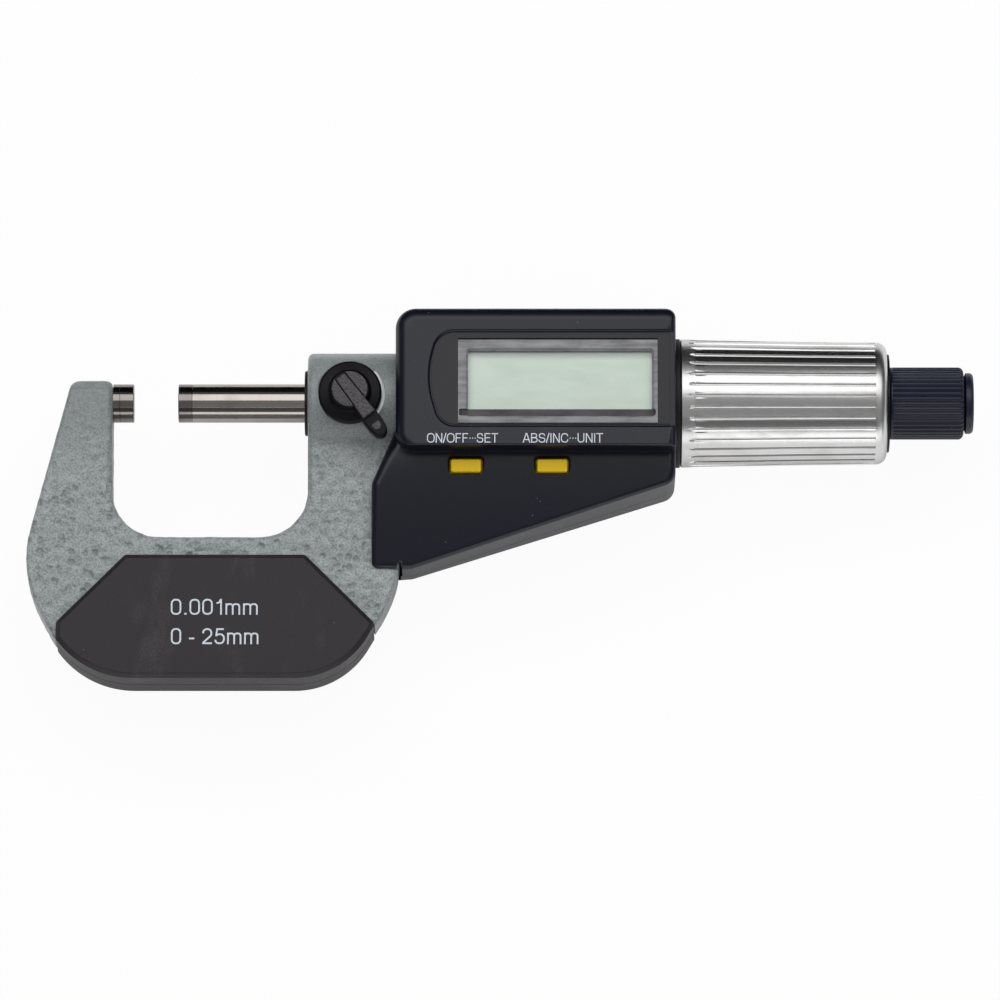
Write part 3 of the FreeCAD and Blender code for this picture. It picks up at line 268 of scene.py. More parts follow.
class Skin:
    """Points and faces of one or more closed surfaces, in millimetres."""

    def __init__(self) -> None:
        """Start with nothing."""
        self.points: list[np.ndarray] = []
        self.faces: list[list[int]] = []
        self.count = 0

    def rings(self, rings: np.ndarray, loop: bool = False) -> "Skin":
        """Add a surface of quads between rings.

        Point i of ring k joins point i + 1 of its ring and the same two of ring k + 1.

        Args:
            rings: rings of equal length, which turn anticlockwise seen from the last one.
            loop: whether the last ring joins the first, as on a ring with a bore. Without it flat
                faces close the first ring and the last.

        Returns:
            This skin.
        """
        total, size = rings.shape[:2]
        index = np.arange(total * size).reshape(total, size) + self.count
        lower = index if loop else index[:-1]
        upper = np.roll(index, -1, 0) if loop else index[1:]
        quads = np.stack([lower, np.roll(lower, -1, 1), np.roll(upper, -1, 1), upper], 2)
        self.faces += quads.reshape(-1, 4).tolist()
        if not loop:
            self.faces += [index[0, ::-1].tolist(), index[-1].tolist()]
        self.points.append(rings.reshape(-1, 3))
        self.count += total * size
        return self

    def slab(self, corners: Corners | np.ndarray, levels: list[tuple[float, float]]) -> "Skin":
        """Add a closed slab of this outline and side."""
        loop = corners if isinstance(corners, np.ndarray) else rounded(corners)
        return self.rings(tapered(loop, levels))

    def lathe(self, corners: Corners, axis: Axis = Axis.ALONG_X, centre: tuple[float, float] = (0, 0),
              count: int = 96, hollow: bool = False) -> "Skin":
        """Add a turned surface.

        Args:
            corners: station, radius and rounding of the profile's corners. A solid one runs from
                its first face to its last, a hollow one is a closed loop.
            axis: the axis of turning.
            centre: where a Z axis stands.
            count: points round the axis.
            hollow: whether the profile is a closed loop round a bore.

        Returns:
            This skin.
        """
        profile = rounded(corners, closed=hollow, step=12)
        return self.rings(turned(profile, circle(count), axis, centre), loop=hollow)

    def piece(self, name: str) -> bpy.types.Object:
        """Make a mesh object of all that was added.

        Args:
            name: the object's name.

        Returns:
            The object, in the scene and with its points in metres.
        """
        mesh = bpy.data.meshes.new(name)
        points = np.concatenate(self.points) * MM
        mesh.from_pydata(points.tolist(), [], self.faces)
        mesh.update()
        piece = bpy.data.objects.new(name, mesh)
        bpy.context.scene.collection.objects.link(piece)
        return piece


def block(box: Box, low: float, high: float, radius: float = 0.0) -> Skin:
    """A plain upright block over the left, right, low and high edges of a box."""
    return Skin().slab(rectangle(*box, radius), [(0, low), (0, high)])


def beam(section: np.ndarray, start: float, length: float, side: int) -> Skin:
    """A bar along X over a section of Y and Z.

    Args:
        section: Y and Z of the section's corners.
        start: station of its first end.
        length: how far it reaches from there.
        side: 1, or -1 for the section mirrored to the rear.

    Returns:
        The bar's surface.
    """
    low = np.stack([np.full(len(section), start), section[:, 0], section[:, 1] * side], 1)
    high = low + np.array([length, 0, 0])
    return Skin().rings(np.stack([low, high] if side > 0 else [high, low]))


# Finishing of solids


def settle(piece: bpy.types.Object) -> bpy.types.Object:
    """Apply the modifiers of a piece to its mesh.

    Args:
        piece: an object with modifiers.

    Returns:
        The same object, with none.
    """
    bpy.context.view_layer.update()
    shown = piece.evaluated_get(bpy.context.evaluated_depsgraph_get())
    mesh = bpy.data.meshes.new_from_object(shown)
    mesh.name = piece.name
    old = piece.data
    piece.modifiers.clear()
    piece.data = mesh
    bpy.data.meshes.remove(old)
    return piece


def carve(piece: bpy.types.Object, tool: "Skin | bpy.types.Object", how: Carve = Carve.REMOVE,
          finish: bpy.types.Material | None = None) -> None:
    """Add a tool solid to a piece or take it away.

    Args:
        piece: the solid that is changed.
        tool: the tool's surface or object, which is used up.
        how: whether the tool is added or taken away.
        finish: material of the faces that the tool leaves.
    """
    cutter = tool.piece("carving_tool") if isinstance(tool, Skin) else tool
    if finish is not None:
        cutter.data.materials.append(finish)
    change = piece.modifiers.new("carve", "BOOLEAN")
    change.object = cutter
    change.operation = how.value
    change.solver = "EXACT"
    change.material_mode = "INDEX" if finish is None else "TRANSFER"
    settle(piece)
    mesh = cutter.data
    bpy.data.objects.remove(cutter)
    bpy.data.meshes.remove(mesh)


def places(piece: bpy.types.Object) -> np.ndarray:
    """A piece's points in mm.

    Args:
        piece: the piece.

    Returns:
        One row of x, y, z for each point.
    """
    flat = np.zeros(len(piece.data.vertices) * 3, np.float32)
    piece.data.vertices.foreach_get("co", flat)
    return flat.reshape(-1, 3).astype(float) / MM


def put(piece: bpy.types.Object, points: np.ndarray) -> None:
    """Move a piece's points to these places in mm."""
    piece.data.vertices.foreach_set("co", (points * MM).astype(np.float32).ravel())
    piece.data.update()


def slice_faces(piece: bpy.types.Object, stations: np.ndarray) -> None:
    """Cut a piece's faces along planes across Y, so that it can be bent smoothly.

    Args:
        piece: the piece.
        stations: the planes' places in mm.
    """
    mesh = bmesh.new()
    mesh.from_mesh(piece.data)
    for station in stations:
        everything = mesh.verts[:] + mesh.edges[:] + mesh.faces[:]
        bmesh.ops.bisect_plane(mesh, geom=everything, dist=1e-8, plane_co=(0, station * MM, 0),
                               plane_no=(0, 1, 0))
    mesh.to_mesh(piece.data)
    mesh.free()


def smooth(piece: bpy.types.Object) -> None:
    """Shade a piece smoothly between its sharp edges, with flat faces kept flat.

    Args:
        piece: the piece.
    """
    piece.data.polygons.foreach_set("use_smooth", np.ones(len(piece.data.polygons), bool))
    piece.data.set_sharp_from_angle(angle=SHARP_ANGLE)
    weigh = piece.modifiers.new("weigh", "WEIGHTED_NORMAL")
    weigh.keep_sharp = True
    weigh.weight = 80
    settle(piece)


def dress(piece: bpy.types.Object, finish: bpy.types.Material, body: str, slot: str,
          *nodes: str) -> None:
    """Give a finished piece its material and body, and hide the CAD nodes it stands for.

    Args:
        piece: the piece.
        finish: its material, where it has none yet.
        body: the CAD body that it moves with.
        slot: the name of a material slot; it is not used.
        *nodes: CAD nodes that it replaces.
    """
    if not any(piece.data.materials):
        piece.data.materials.clear()
        piece.data.materials.append(finish)
    smooth(piece)
    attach(piece, body)
    if nodes:
        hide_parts(*nodes)
    log.info("%s: %d faces on %s", piece.name, len(piece.data.polygons), body)


# Shader maths


def srgb(red: int, green: int, blue: int) -> Colour:
    """Linear values of a colour given as 0 to 255 sRGB numbers.

    Args:
        red: the red number, from 0 to 255.
        green: the green number, from 0 to 255.
        blue: the blue number, from 0 to 255.

    Returns:
        The three linear shares, from 0 to 1.
    """
    shares = np.array([red, green, blue]) / 255
    linear = np.where(shares <= 0.04045, shares / 12.92, ((shares + 0.055) / 1.055) ** 2.4)
    return tuple(float(x) for x in linear)


class Signal:
    """A node's output that takes part in Python arithmetic by adding Math nodes."""

    def __init__(self, board: "Board", socket: bpy.types.NodeSocket) -> None:
        """Wrap a socket of a board."""
        self.board = board
        self.socket = socket

    def __add__(self, other: "Signal | float") -> "Signal":
        """Sum."""
        return self.board.maths("ADD", self, other)

    def __sub__(self, other: "Signal | float") -> "Signal":
        """Difference."""
        return self.board.maths("SUBTRACT", self, other)

    def __rsub__(self, other: float) -> "Signal":
        """A number less this."""
        return self.board.maths("SUBTRACT", other, self)

    def __mul__(self, other: "Signal | float") -> "Signal":
        """Product."""
        return self.board.maths("MULTIPLY", self, other)

    __radd__ = __add__
    __rmul__ = __mul__

    def step(self, low: float, high: float) -> "Signal":
        """0 below low, 1 above high and a smooth rise between."""
        return self.board.node("ShaderNodeMapRange", {"interpolation_type": "SMOOTHSTEP", "clamp": True},
                               {"Value": self, "From Min": low, "From Max": high, "To Min": 0.0,
                                "To Max": 1.0})


class Board:
    """The node tree of one material."""

    def __init__(self, name: str) -> None:
        """Start an empty material.

        Args:
            name: the material's name.
        """
        self.material = bpy.data.materials.new(name)
        self.material.use_nodes = True
        self.tree = self.material.node_tree
        self.tree.nodes.clear()
        self.place = self.node("ShaderNodeTexCoord", {}, {}, "Object")

    def node(self, kind: str, settings: dict, sockets: dict, out: str | int = 0) -> Signal:
        """Add a node.

        Args:
            kind: the node's type.
            settings: attributes that are set first.
            sockets: values or signals of its inputs, by name or number.
            out: name or number of the output that is returned.

        Returns:
            The output as a signal.
        """
        node = self.tree.nodes.new(kind)
        for key, value in settings.items():
            setattr(node, key, value)
        for key, value in sockets.items():
            if isinstance(value, Signal):
                self.tree.links.new(value.socket, node.inputs[key])
            elif isinstance(value, tuple) and len(value) == 3 and len(node.inputs[key].default_value) == 4:
                node.inputs[key].default_value = (*value, 1.0)
            else:
                node.inputs[key].default_value = value
        return Signal(self, node.outputs[out])

    def maths(self, operation: str, first: Signal | float, second: Signal | float) -> Signal:
        """A Math node of two values."""
        return self.node("ShaderNodeMath", {"operation": operation}, {0: first, 1: second})

    def mix(self, share: Signal | float, first: Signal | Colour, second: Signal | Colour) -> Signal:
        """A blend from the first colour at share 0 to the second at 1."""
        return self.node("ShaderNodeMix", {"data_type": "RGBA"}, {0: share, 6: first, 7: second}, 2)

    def stretched(self, scale: tuple[float, float, float]) -> Signal:
        """The object's coordinates, scaled along each axis."""
        return self.node("ShaderNodeMapping", {}, {"Vector": self.place, "Scale": scale})

    def noise(self, size: float, detail: float = 2.0, rough: float = 0.5,
              place: Signal | None = None) -> Signal:
        """Soft noise whose lumps are about so many millimetres across."""
        return self.node("ShaderNodeTexNoise", {},
                         {"Vector": place or self.place, "Scale": 1 / (size * MM), "Detail": detail,
                          "Roughness": rough})

    def cells(self, size: float) -> Signal:
        """Distance to the nearest of points about so many millimetres apart."""
        return self.node("ShaderNodeTexVoronoi", {"feature": "F1"},
                         {"Vector": self.place, "Scale": 1 / (size * MM)}, "Distance")

    def relief(self, height: Signal, depth: float, under: Signal | None = None) -> Signal:
        """A normal bumped by a height that spans so many millimetres.

        Args:
            height: the height, from 0 to 1.
            depth: what 1 stands for in mm.
            under: a normal that is bumped further.

        Returns:
            The normal.
        """
        sockets = {"Height": height, "Distance": depth * MM, "Strength": 1.0}
        if under is not None:
            sockets["Normal"] = under
        return self.node("ShaderNodeBump", {}, sockets)

    def soft_edges(self, radius: float) -> Signal:
        """A normal that rounds sharp edges by so many millimetres."""
        return self.node("ShaderNodeBevel", {"samples": 6}, {"Radius": radius * MM})

    def close(self, **sockets: "Signal | float | Colour") -> bpy.types.Material:
        """Feed a Principled shader and the output.

        Args:
            **sockets: inputs of the shader, with _ for a space in each name.

        Returns:
            The finished material.
        """
        named = {key.replace("_", " "): value for key, value in sockets.items()}
        shader = self.node("ShaderNodeBsdfPrincipled", {}, named)
        output = self.tree.nodes.new("ShaderNodeOutputMaterial")
        self.tree.links.new(shader.socket, output.inputs["Surface"])
        return self.material


@dataclass(frozen=True)
class HammeredEnamel:
    """Grey hammer-finish enamel: a speckled skin with small pits.

    From the low height in Y to the high one, by the boss and the anvil, it loses its pits and
    is darkened as painted shade. Its pits are darkened as painted shade too.
    """

    name: str = "hammered_enamel"
    light: Colour = srgb(168, 175, 175)
    dark: Colour = srgb(100, 107, 108)
    speckle: float = 0.34
    low: float = -16.0
    high: float = -1.0

    def paint(self) -> bpy.types.Material:
        """Make the material.

        Returns:
            The material.
        """
        board = Board(self.name)
        fine = board.noise(self.speckle, 3.0, 0.7)
        blotch = board.noise(1.5)
        cloud = board.noise(9.0)
        across = board.node("ShaderNodeSeparateXYZ", {}, {"Vector": board.place}, "Y")
        # This zone, from the low height in Y to the high one by the boss and the anvil, takes away the pits
        # and darkens the colour as painted shade.
        height = across.step(self.low * MM, self.high * MM)
        # Pits are dents in the bump; the colour is also darkened in them, which is painted shade.
        pits = board.cells(1.5).step(0.1, 0.5)
        worn = board.noise(5.0).step(0.36, 0.6) * (1 - height)
        pits = 1 - (1 - pits) * worn
        shade = fine.step(0.25, 0.65) * 0.8 + blotch.step(0.34, 0.66) * 0.12 + cloud.step(0.35, 0.65) * 0.08
        # Painted shade: the colour is darkened in the pits and over the zone by the boss and the anvil.
        colour = board.mix(shade * (0.65 + pits * 0.35) * (1 - height * 0.44), self.dark, self.light)
        skin = board.relief(pits, 0.3, board.relief(fine, 0.07, board.soft_edges(0.05)))
        return board.close(Base_Color=colour, Roughness=fine * 0.2 + 0.24,
                           Normal=board.relief(blotch, 0.14, skin), Coat_Weight=0.3, Coat_Roughness=0.2)


@dataclass(frozen=True)
class MouldedPlastic:
    """Fine-grained moulded plastic with faint handling smudges and a few specks of dust."""

    name: str
    colour: Colour
    rubbed: Colour
    grain: float = 0.16
    depth: float = 0.006
    rough: float = 0.42
    edge: float = 0.12
    smudge: float = 0.35
    dust: float = 0.0
    gloss: float = 0.5
    mottle: float = 0.1

    def paint(self) -> bpy.types.Material:
        """Make the material.

        Returns:
            The material.
        """
        board = Board(self.name)
        grain = board.noise(self.grain, 2.0, 0.6)
        smudge = board.noise(7.0, 4.0, 0.62, board.stretched((1.0, 0.45, 1.0))).step(0.52, 0.78)
        colour = board.mix(smudge * self.smudge * grain.step(0.35, 0.65) + grain.step(0.3, 0.7) * self.mottle,
                           self.colour, self.rubbed)
        if self.dust:
            speck = 1 - board.cells(1.9).step(0.02, 0.05)
            share = speck * board.noise(6.0).step(0.5, 0.6) * self.dust
            colour = board.mix(share, colour, srgb(170, 172, 176))
        normal = board.relief(grain, self.depth, board.soft_edges(self.edge))
        return board.close(Base_Color=colour, Roughness=grain * 0.12 + self.rough - smudge * 0.06,
                           Normal=normal, Specular_IOR_Level=self.gloss)


@dataclass(frozen=True)
class TurnedMetal:
    """Ground metal with fine marks round the X axis, which keep its reflections in clean bands."""

    name: str
    colour: Colour
    worn: Colour
    rough: float = 0.12
    mark: float = 0.05
    depth: float = 0.0006
    edge: float = 0.04

    def paint(self) -> bpy.types.Material:
        """Make the material.

        Returns:
            The material.
        """
        board = Board(self.name)
        marks = board.noise(self.mark, 3.0, 0.7, board.stretched((1.0, 0.004, 0.004)))
        haze = board.noise(5.0, 3.0, 0.6).step(0.45, 0.75)
        colour = board.mix(haze * 0.3 + marks * 0.4, self.colour, self.worn)
        normal = board.relief(marks, self.depth, board.soft_edges(self.edge))
        return board.close(Base_Color=colour, Metallic=1.0, Roughness=marks * 0.05 + haze * 0.03 + self.rough,
                           Normal=normal)


@dataclass(frozen=True)
class SatinChrome:
    """Satin chrome plate: a finely drawn skin with faint haze and a few hair scratches.

    The plain rims outside the two given stations are blasted a little rougher.
    """

    name: str = "satin_chrome"
    colour: Colour = srgb(232, 232, 232)
    haze: Colour = srgb(206, 204, 202)
    rim: float = 94.6
    tail: float = 125.2

    def paint(self) -> bpy.types.Material:
        """Make the material.

        Returns:
            The material.
        """
        board = Board(self.name)
        drawn = board.noise(0.16, 2.0, 0.6, board.stretched((0.03, 1.0, 1.0)))
        blast = board.noise(0.1, 2.0, 0.6)
        haze = board.noise(5.0, 4.0, 0.6, board.stretched((0.5, 1.0, 1.0))).step(0.45, 0.75)
        along = board.node("ShaderNodeSeparateXYZ", {}, {"Vector": board.place}, "X")
        rim = 1 - along.step((self.rim - 0.5) * MM, (self.rim + 0.5) * MM)
        rim = rim + along.step((self.tail - 0.3) * MM, (self.tail + 0.3) * MM)
        normal = board.relief(drawn + rim * blast, 0.0012, board.soft_edges(0.04))
        colour = board.mix(haze * 0.6 + blast * 0.2, self.colour, self.haze)
        return board.close(Base_Color=colour, Metallic=1.0,
                           Roughness=blast * 0.05 + haze * 0.05 + rim * 0.09 + 0.2, Normal=normal)


@dataclass(frozen=True)
class WindowBorder:
    """Grey moulded border of the window, with streaks and patches along it whose light and dark tones are
    painted reflections of its bevelled faces.
    """

    name: str = "window_border"
    # Dark and light tones between which the painted reflections run.
    dark: Colour = srgb(92, 91, 95)
    light: Colour = srgb(158, 159, 163)

    def paint(self) -> bpy.types.Material:
        """Make the material.

        Returns:
            The material.
        """
        board = Board(self.name)
        streak_and_reflection = board.noise(0.7, 3.0, 0.6, board.stretched((0.08, 1.0, 1.0)))
        patch = board.noise(2.4, 2.0, 0.5, board.stretched((0.5, 1.0, 1.0)))
        # Painted reflection: the streaks and patches lighten and darken the colour as the bevelled faces'
        # reflections would; the streaks also give a faint relief.
        shade = streak_and_reflection.step(0.2, 0.8) * 0.6 + patch.step(0.3, 0.7) * 0.4
        return board.close(Base_Color=board.mix(shade, self.dark, self.light), Roughness=patch * 0.15 + 0.22,
                           Normal=board.relief(streak_and_reflection, 0.02, board.soft_edges(0.08)))


@dataclass(frozen=True)
class Ink:
    """Printed ink, slightly worn."""

    name: str = "print_ink"
    colour: Colour = srgb(222, 230, 240)

    def paint(self) -> bpy.types.Material:
        """Make the material.

        Returns:
            The material.
        """
        board = Board(self.name)
        worn = board.noise(0.2, 2.0, 0.6).step(0.35, 0.7)
        return board.close(Base_Color=board.mix(worn * 0.35, self.colour, srgb(150, 158, 172)),
                           Roughness=worn * 0.15 + 0.45)


@dataclass(frozen=True)
class DisplayGlass:
    """Pale green reflective display behind its polariser, with a faint dot grid."""

    name: str = "display_glass"
    colour: Colour = srgb(220, 234, 220)
    shade: Colour = srgb(206, 222, 209)

    def paint(self) -> bpy.types.Material:
        """Make the material.

        Returns:
            The material.
        """
        board = Board(self.name)
        cloud = board.noise(6.0, 3.0, 0.6)
        dots = board.cells(0.28)
        colour = board.mix(cloud * 0.7 + dots * 0.3, self.colour, self.shade)
        return board.close(Base_Color=colour, Roughness=cloud * 0.1 + 0.35, Coat_Weight=0.3,
                           Coat_Roughness=0.1)


@dataclass(frozen=True)
class ClearSheet:
    """Clear plastic that shows what lies under it."""

    name: str
    colour: Colour
    cover: float
    rough: float = 0.12

    def paint(self) -> bpy.types.Material:
        """Make the material.

        Returns:
            The material.
        """
        board = Board(self.name)
        cloud = board.noise(1.4, 3.0, 0.6, board.stretched((0.25, 1.0, 1.0)))
        colour = board.mix(cloud.step(0.35, 0.7), self.colour, tuple(x * 0.35 for x in self.colour))
        return board.close(Base_Color=colour, Roughness=cloud * 0.1 + self.rough, Alpha=self.cover)


@dataclass(frozen=True)
class PlainStock:
    """Everyday stock for inner pieces: one colour, a little mottled, plain or metallic."""

    name: str
    colour: Colour
    metallic: float = 0.0
    rough: float = 0.4
    size: float = 0.8

    def paint(self) -> bpy.types.Material:
        """Make the material.

        Returns:
            The material.
        """
        board = Board(self.name)
        mottle = board.noise(self.size, 3.0, 0.6)
        fine = board.noise(self.size / 6, 2.0, 0.5)
        colour = board.mix(mottle.step(0.3, 0.7) * 0.5, self.colour, tuple(x * 0.72 for x in self.colour))
        return board.close(Base_Color=colour, Metallic=self.metallic, Roughness=fine * 0.15 + self.rough,
                           Normal=board.relief(fine, 0.004))


class Finishes:
    """Every finish of the object, made once."""

    def __init__(self) -> None:
        """Make the materials."""
        self.enamel = HammeredEnamel().paint()
        self.chrome = SatinChrome().paint()
        self.housing = MouldedPlastic("housing_plastic", srgb(10, 13, 28), srgb(38, 40, 52), depth=0.004,
                                      rough=0.26, dust=0.7).paint()
        self.grip = MouldedPlastic("grip_plastic", srgb(26, 21, 28), srgb(82, 75, 82), grain=0.22,
                                   depth=0.012, rough=0.4, smudge=0.5, dust=0.5).paint()
        self.film = MouldedPlastic("film_print", srgb(42, 40, 46), srgb(62, 60, 66), grain=0.1, depth=0.003,
                                   rough=0.5, smudge=0.15).paint()
        self.knob = MouldedPlastic("ratchet_plastic", srgb(12, 17, 38), srgb(60, 64, 86), grain=0.2,
                                   depth=0.003, rough=0.34, smudge=0.2, dust=0.5).paint()
        self.black = MouldedPlastic("lock_black", srgb(10, 8, 12), srgb(30, 27, 34), rough=0.34,
                                    gloss=0.2).paint()
        self.lever = MouldedPlastic("lever_texture", srgb(40, 38, 44), srgb(98, 94, 98), grain=0.3,
                                    depth=0.1, rough=0.44, smudge=0.3, mottle=0.8).paint()
        self.rubber = MouldedPlastic("black_rubber", srgb(12, 12, 14), srgb(36, 36, 38), rough=0.5).paint()
        self.yellow = MouldedPlastic("yellow_plastic", srgb(250, 208, 0), srgb(248, 220, 50), grain=0.3,
                                     depth=0.004, rough=0.34, smudge=0.1, gloss=0.3).paint()
        self.spindle = TurnedMetal("ground_steel", srgb(190, 184, 178), srgb(150, 144, 140), 0.09).paint()
        self.carbide = TurnedMetal("carbide", srgb(152, 146, 142), srgb(116, 111, 108), 0.1).paint()
        self.machined = TurnedMetal("machined_edge", srgb(178, 184, 180), srgb(130, 136, 132), 0.26).paint()
        self.ink = Ink().paint()
        self.display = DisplayGlass().paint()
        self.pane = ClearSheet("window_pane", srgb(210, 214, 218), 0.05).paint()
        self.border = WindowBorder().paint()
        self.holder = PlainStock("holder_plastic", srgb(38, 34, 36)).paint()
        self.board = PlainStock("board_laminate", srgb(26, 92, 58), rough=0.35).paint()
        self.chip = PlainStock("chip_resin", srgb(24, 24, 26)).paint()
        self.brass = PlainStock("brass", srgb(206, 170, 96), 1.0, 0.28).paint()
        self.inner = PlainStock("inner_steel", srgb(176, 176, 178), 1.0, 0.3).paint()
        self.screw = PlainStock("screw_steel", srgb(70, 70, 74), 1.0, 0.34).paint()
        self.cell = PlainStock("cell_steel", srgb(206, 206, 210), 1.0, 0.22, 2.0).paint()


# Words


def glyphs() -> dict[str, tuple[float, Strokes]]:
    """Plain upright letters as strokes in a cap height of 1.

    Returns:
        For each character its width and its strokes, each a list of x, y and corner radius with
        whether it closes.
    """
    def line(*corners: tuple[float, ...]) -> tuple[list[tuple[float, ...]], bool]:
        """An open stroke."""
        return [tuple(corner) + (0.0,) * (3 - len(corner)) for corner in corners], False

    def oval(right: float, radius: float) -> tuple[list[tuple[float, ...]], bool]:
        """A closed upright ring."""
        return rectangle(0.06, right, 0.05, 0.95, radius), True

    dot = line((0.05, 0.06), (0.18, 0.06))
    return {
        " ": (0.2, []),
        "/": (0.3, [line((0.0, -0.02), (0.28, 1.02))]),
        "·": (0.2, [line((0.05, 0.47), (0.16, 0.47))]),
        ".": (0.22, [dot]),
        "-": (0.36, [line((0.03, 0.36), (0.33, 0.36))]),
        "O": (0.8, [oval(0.74, 0.33)]),
        "0": (0.6, [oval(0.54, 0.235)]),
        "1": (0.46, [line((0.34, 0.0), (0.34, 1.0)), line((0.1, 0.72), (0.26, 0.8), (0.31, 0.96))]),
        "2": (0.6, [line((0.07, 0.68), (0.07, 0.94, 0.22), (0.53, 0.94, 0.22), (0.53, 0.56, 0.2),
                         (0.07, 0.1)),
                    line((0.02, 0.06), (0.57, 0.06))]),
        "5": (0.6, [line((0.53, 0.94), (0.16, 0.94), (0.1, 0.5)),
                    line((0.1, 0.52), (0.2, 0.62, 0.1), (0.54, 0.62, 0.22), (0.54, 0.06, 0.24),
                         (0.06, 0.06, 0.2), (0.06, 0.28))]),
        "A": (0.7, [line((0.02, 0.0), (0.33, 1.0)), line((0.37, 1.0), (0.68, 0.0)),
                    line((0.15, 0.32), (0.55, 0.32))]),
        "B": (0.7, [line((0.09, 0.0), (0.09, 1.0)),
                    line((0.09, 0.94), (0.58, 0.94, 0.2), (0.58, 0.53, 0.2), (0.09, 0.53)),
                    line((0.09, 0.51), (0.63, 0.51, 0.21), (0.63, 0.06, 0.21), (0.09, 0.06))]),
        "C": (0.76, [line((0.67, 0.66), (0.67, 0.94, 0.26), (0.06, 0.94, 0.33), (0.06, 0.06, 0.33),
                          (0.68, 0.06, 0.26), (0.68, 0.36))]),
        "E": (0.68, [line((0.62, 0.94), (0.09, 0.94), (0.09, 0.06), (0.65, 0.06)),
                     line((0.09, 0.52), (0.58, 0.52))]),
        "F": (0.64, [line((0.6, 0.94), (0.09, 0.94), (0.09, 0.0)), line((0.09, 0.5), (0.53, 0.5))]),
        "I": (0.2, [line((0.1, 0.0), (0.1, 1.0))]),
        "N": (0.74, [line((0.09, 0.0), (0.09, 1.0)), line((0.65, 0.0), (0.65, 1.0)),
                     line((0.12, 0.95), (0.62, 0.05))]),
        "S": (0.7, [line((0.6, 0.7), (0.6, 0.94, 0.22), (0.09, 0.94, 0.2), (0.09, 0.53, 0.18),
                         (0.62, 0.47, 0.18), (0.62, 0.06, 0.2), (0.05, 0.06, 0.22), (0.05, 0.3))]),
        "T": (0.68, [line((0.01, 0.94), (0.67, 0.94)), line((0.34, 0.0), (0.34, 0.94))]),
        "U": (0.74, [line((0.09, 1.0), (0.09, 0.06, 0.27), (0.65, 0.06, 0.27), (0.65, 1.0))]),
        "m": (0.86, [line((0.07, 0.0), (0.07, 0.72)),
                     line((0.07, 0.45), (0.07, 0.67, 0.16), (0.42, 0.67, 0.16), (0.42, 0.0)),
                     line((0.42, 0.45), (0.42, 0.67, 0.16), (0.78, 0.67, 0.16), (0.78, 0.0))]),
    }


def ribbon(path: np.ndarray, closed: bool, width: float, low: float, high: float) -> np.ndarray:
    """Rings of a flat bar carried along a path.

    Each ring is a rectangle across the path: the path's point plus and minus half the width
    along the path's left normal, at the low and the high level.

    Args:
        path: the bar's middle line.
        closed: whether the path ends where it starts.
        width: the bar's width.
        low: level of its back.
        high: level of its face.

    Returns:
        The rings.
    """
    across = inward(path)
    if not closed:
        ends = unit(path[[1, -1]] - path[[0, -2]])
        across[[0, -1]] = np.stack([-ends[:, 1], ends[:, 0]], 1)
    half = across * width / 2
    corners = [(path + half, low), (path + half, high), (path - half, high), (path - half, low)]
    return np.stack([np.concatenate([flat, np.full((len(path), 1), level)], 1) for flat, level in corners], 1)


def lettering(name: str, words: str, box: Box, height: float, finish: bpy.types.Material, body: str,
              weight: float = 0.105, space: float = 0.1) -> None:
    """Printed words that fill a box, one thin bar for each stroke.

    Each bar is rooted in the face and stands a little prouder than the one before it, so that
    no two faces lie in one plane where strokes cross.

    Args:
        name: the piece's name.
        words: the text.
        box: left, right, low and high edges of the words in mm.
        height: level of the face that carries them in mm.
        finish: the ink.
        body: the CAD body that they ride on.
        weight: width of the strokes as a share of the cap height.
        space: gap between two letters as a share of the cap height.
    """
    table = glyphs()
    widths = [table[letter][0] + space for letter in words]
    starts = np.cumsum([0.0] + widths[:-1])
    left, right, low, high = box
    tall = high - low
    stretch = (right - left) / (sum(widths) - space)
    skin = Skin()
    root, proud, more = 0.04, 0.012, 0.0004
    level = height + proud
    for letter, start in zip(words, starts):
        for corners, closed in table[letter][1]:
            placed = [(left + (start + x) * stretch, low + y * tall, r * min(stretch, tall))
                      for x, y, r in corners]
            path = rounded(placed, closed, 12)
            level += more
            skin.rings(ribbon(path, closed, weight * tall, height - root, level), loop=closed)
    dress(skin.piece(name), finish, body, "film_print")


# The object's own parts


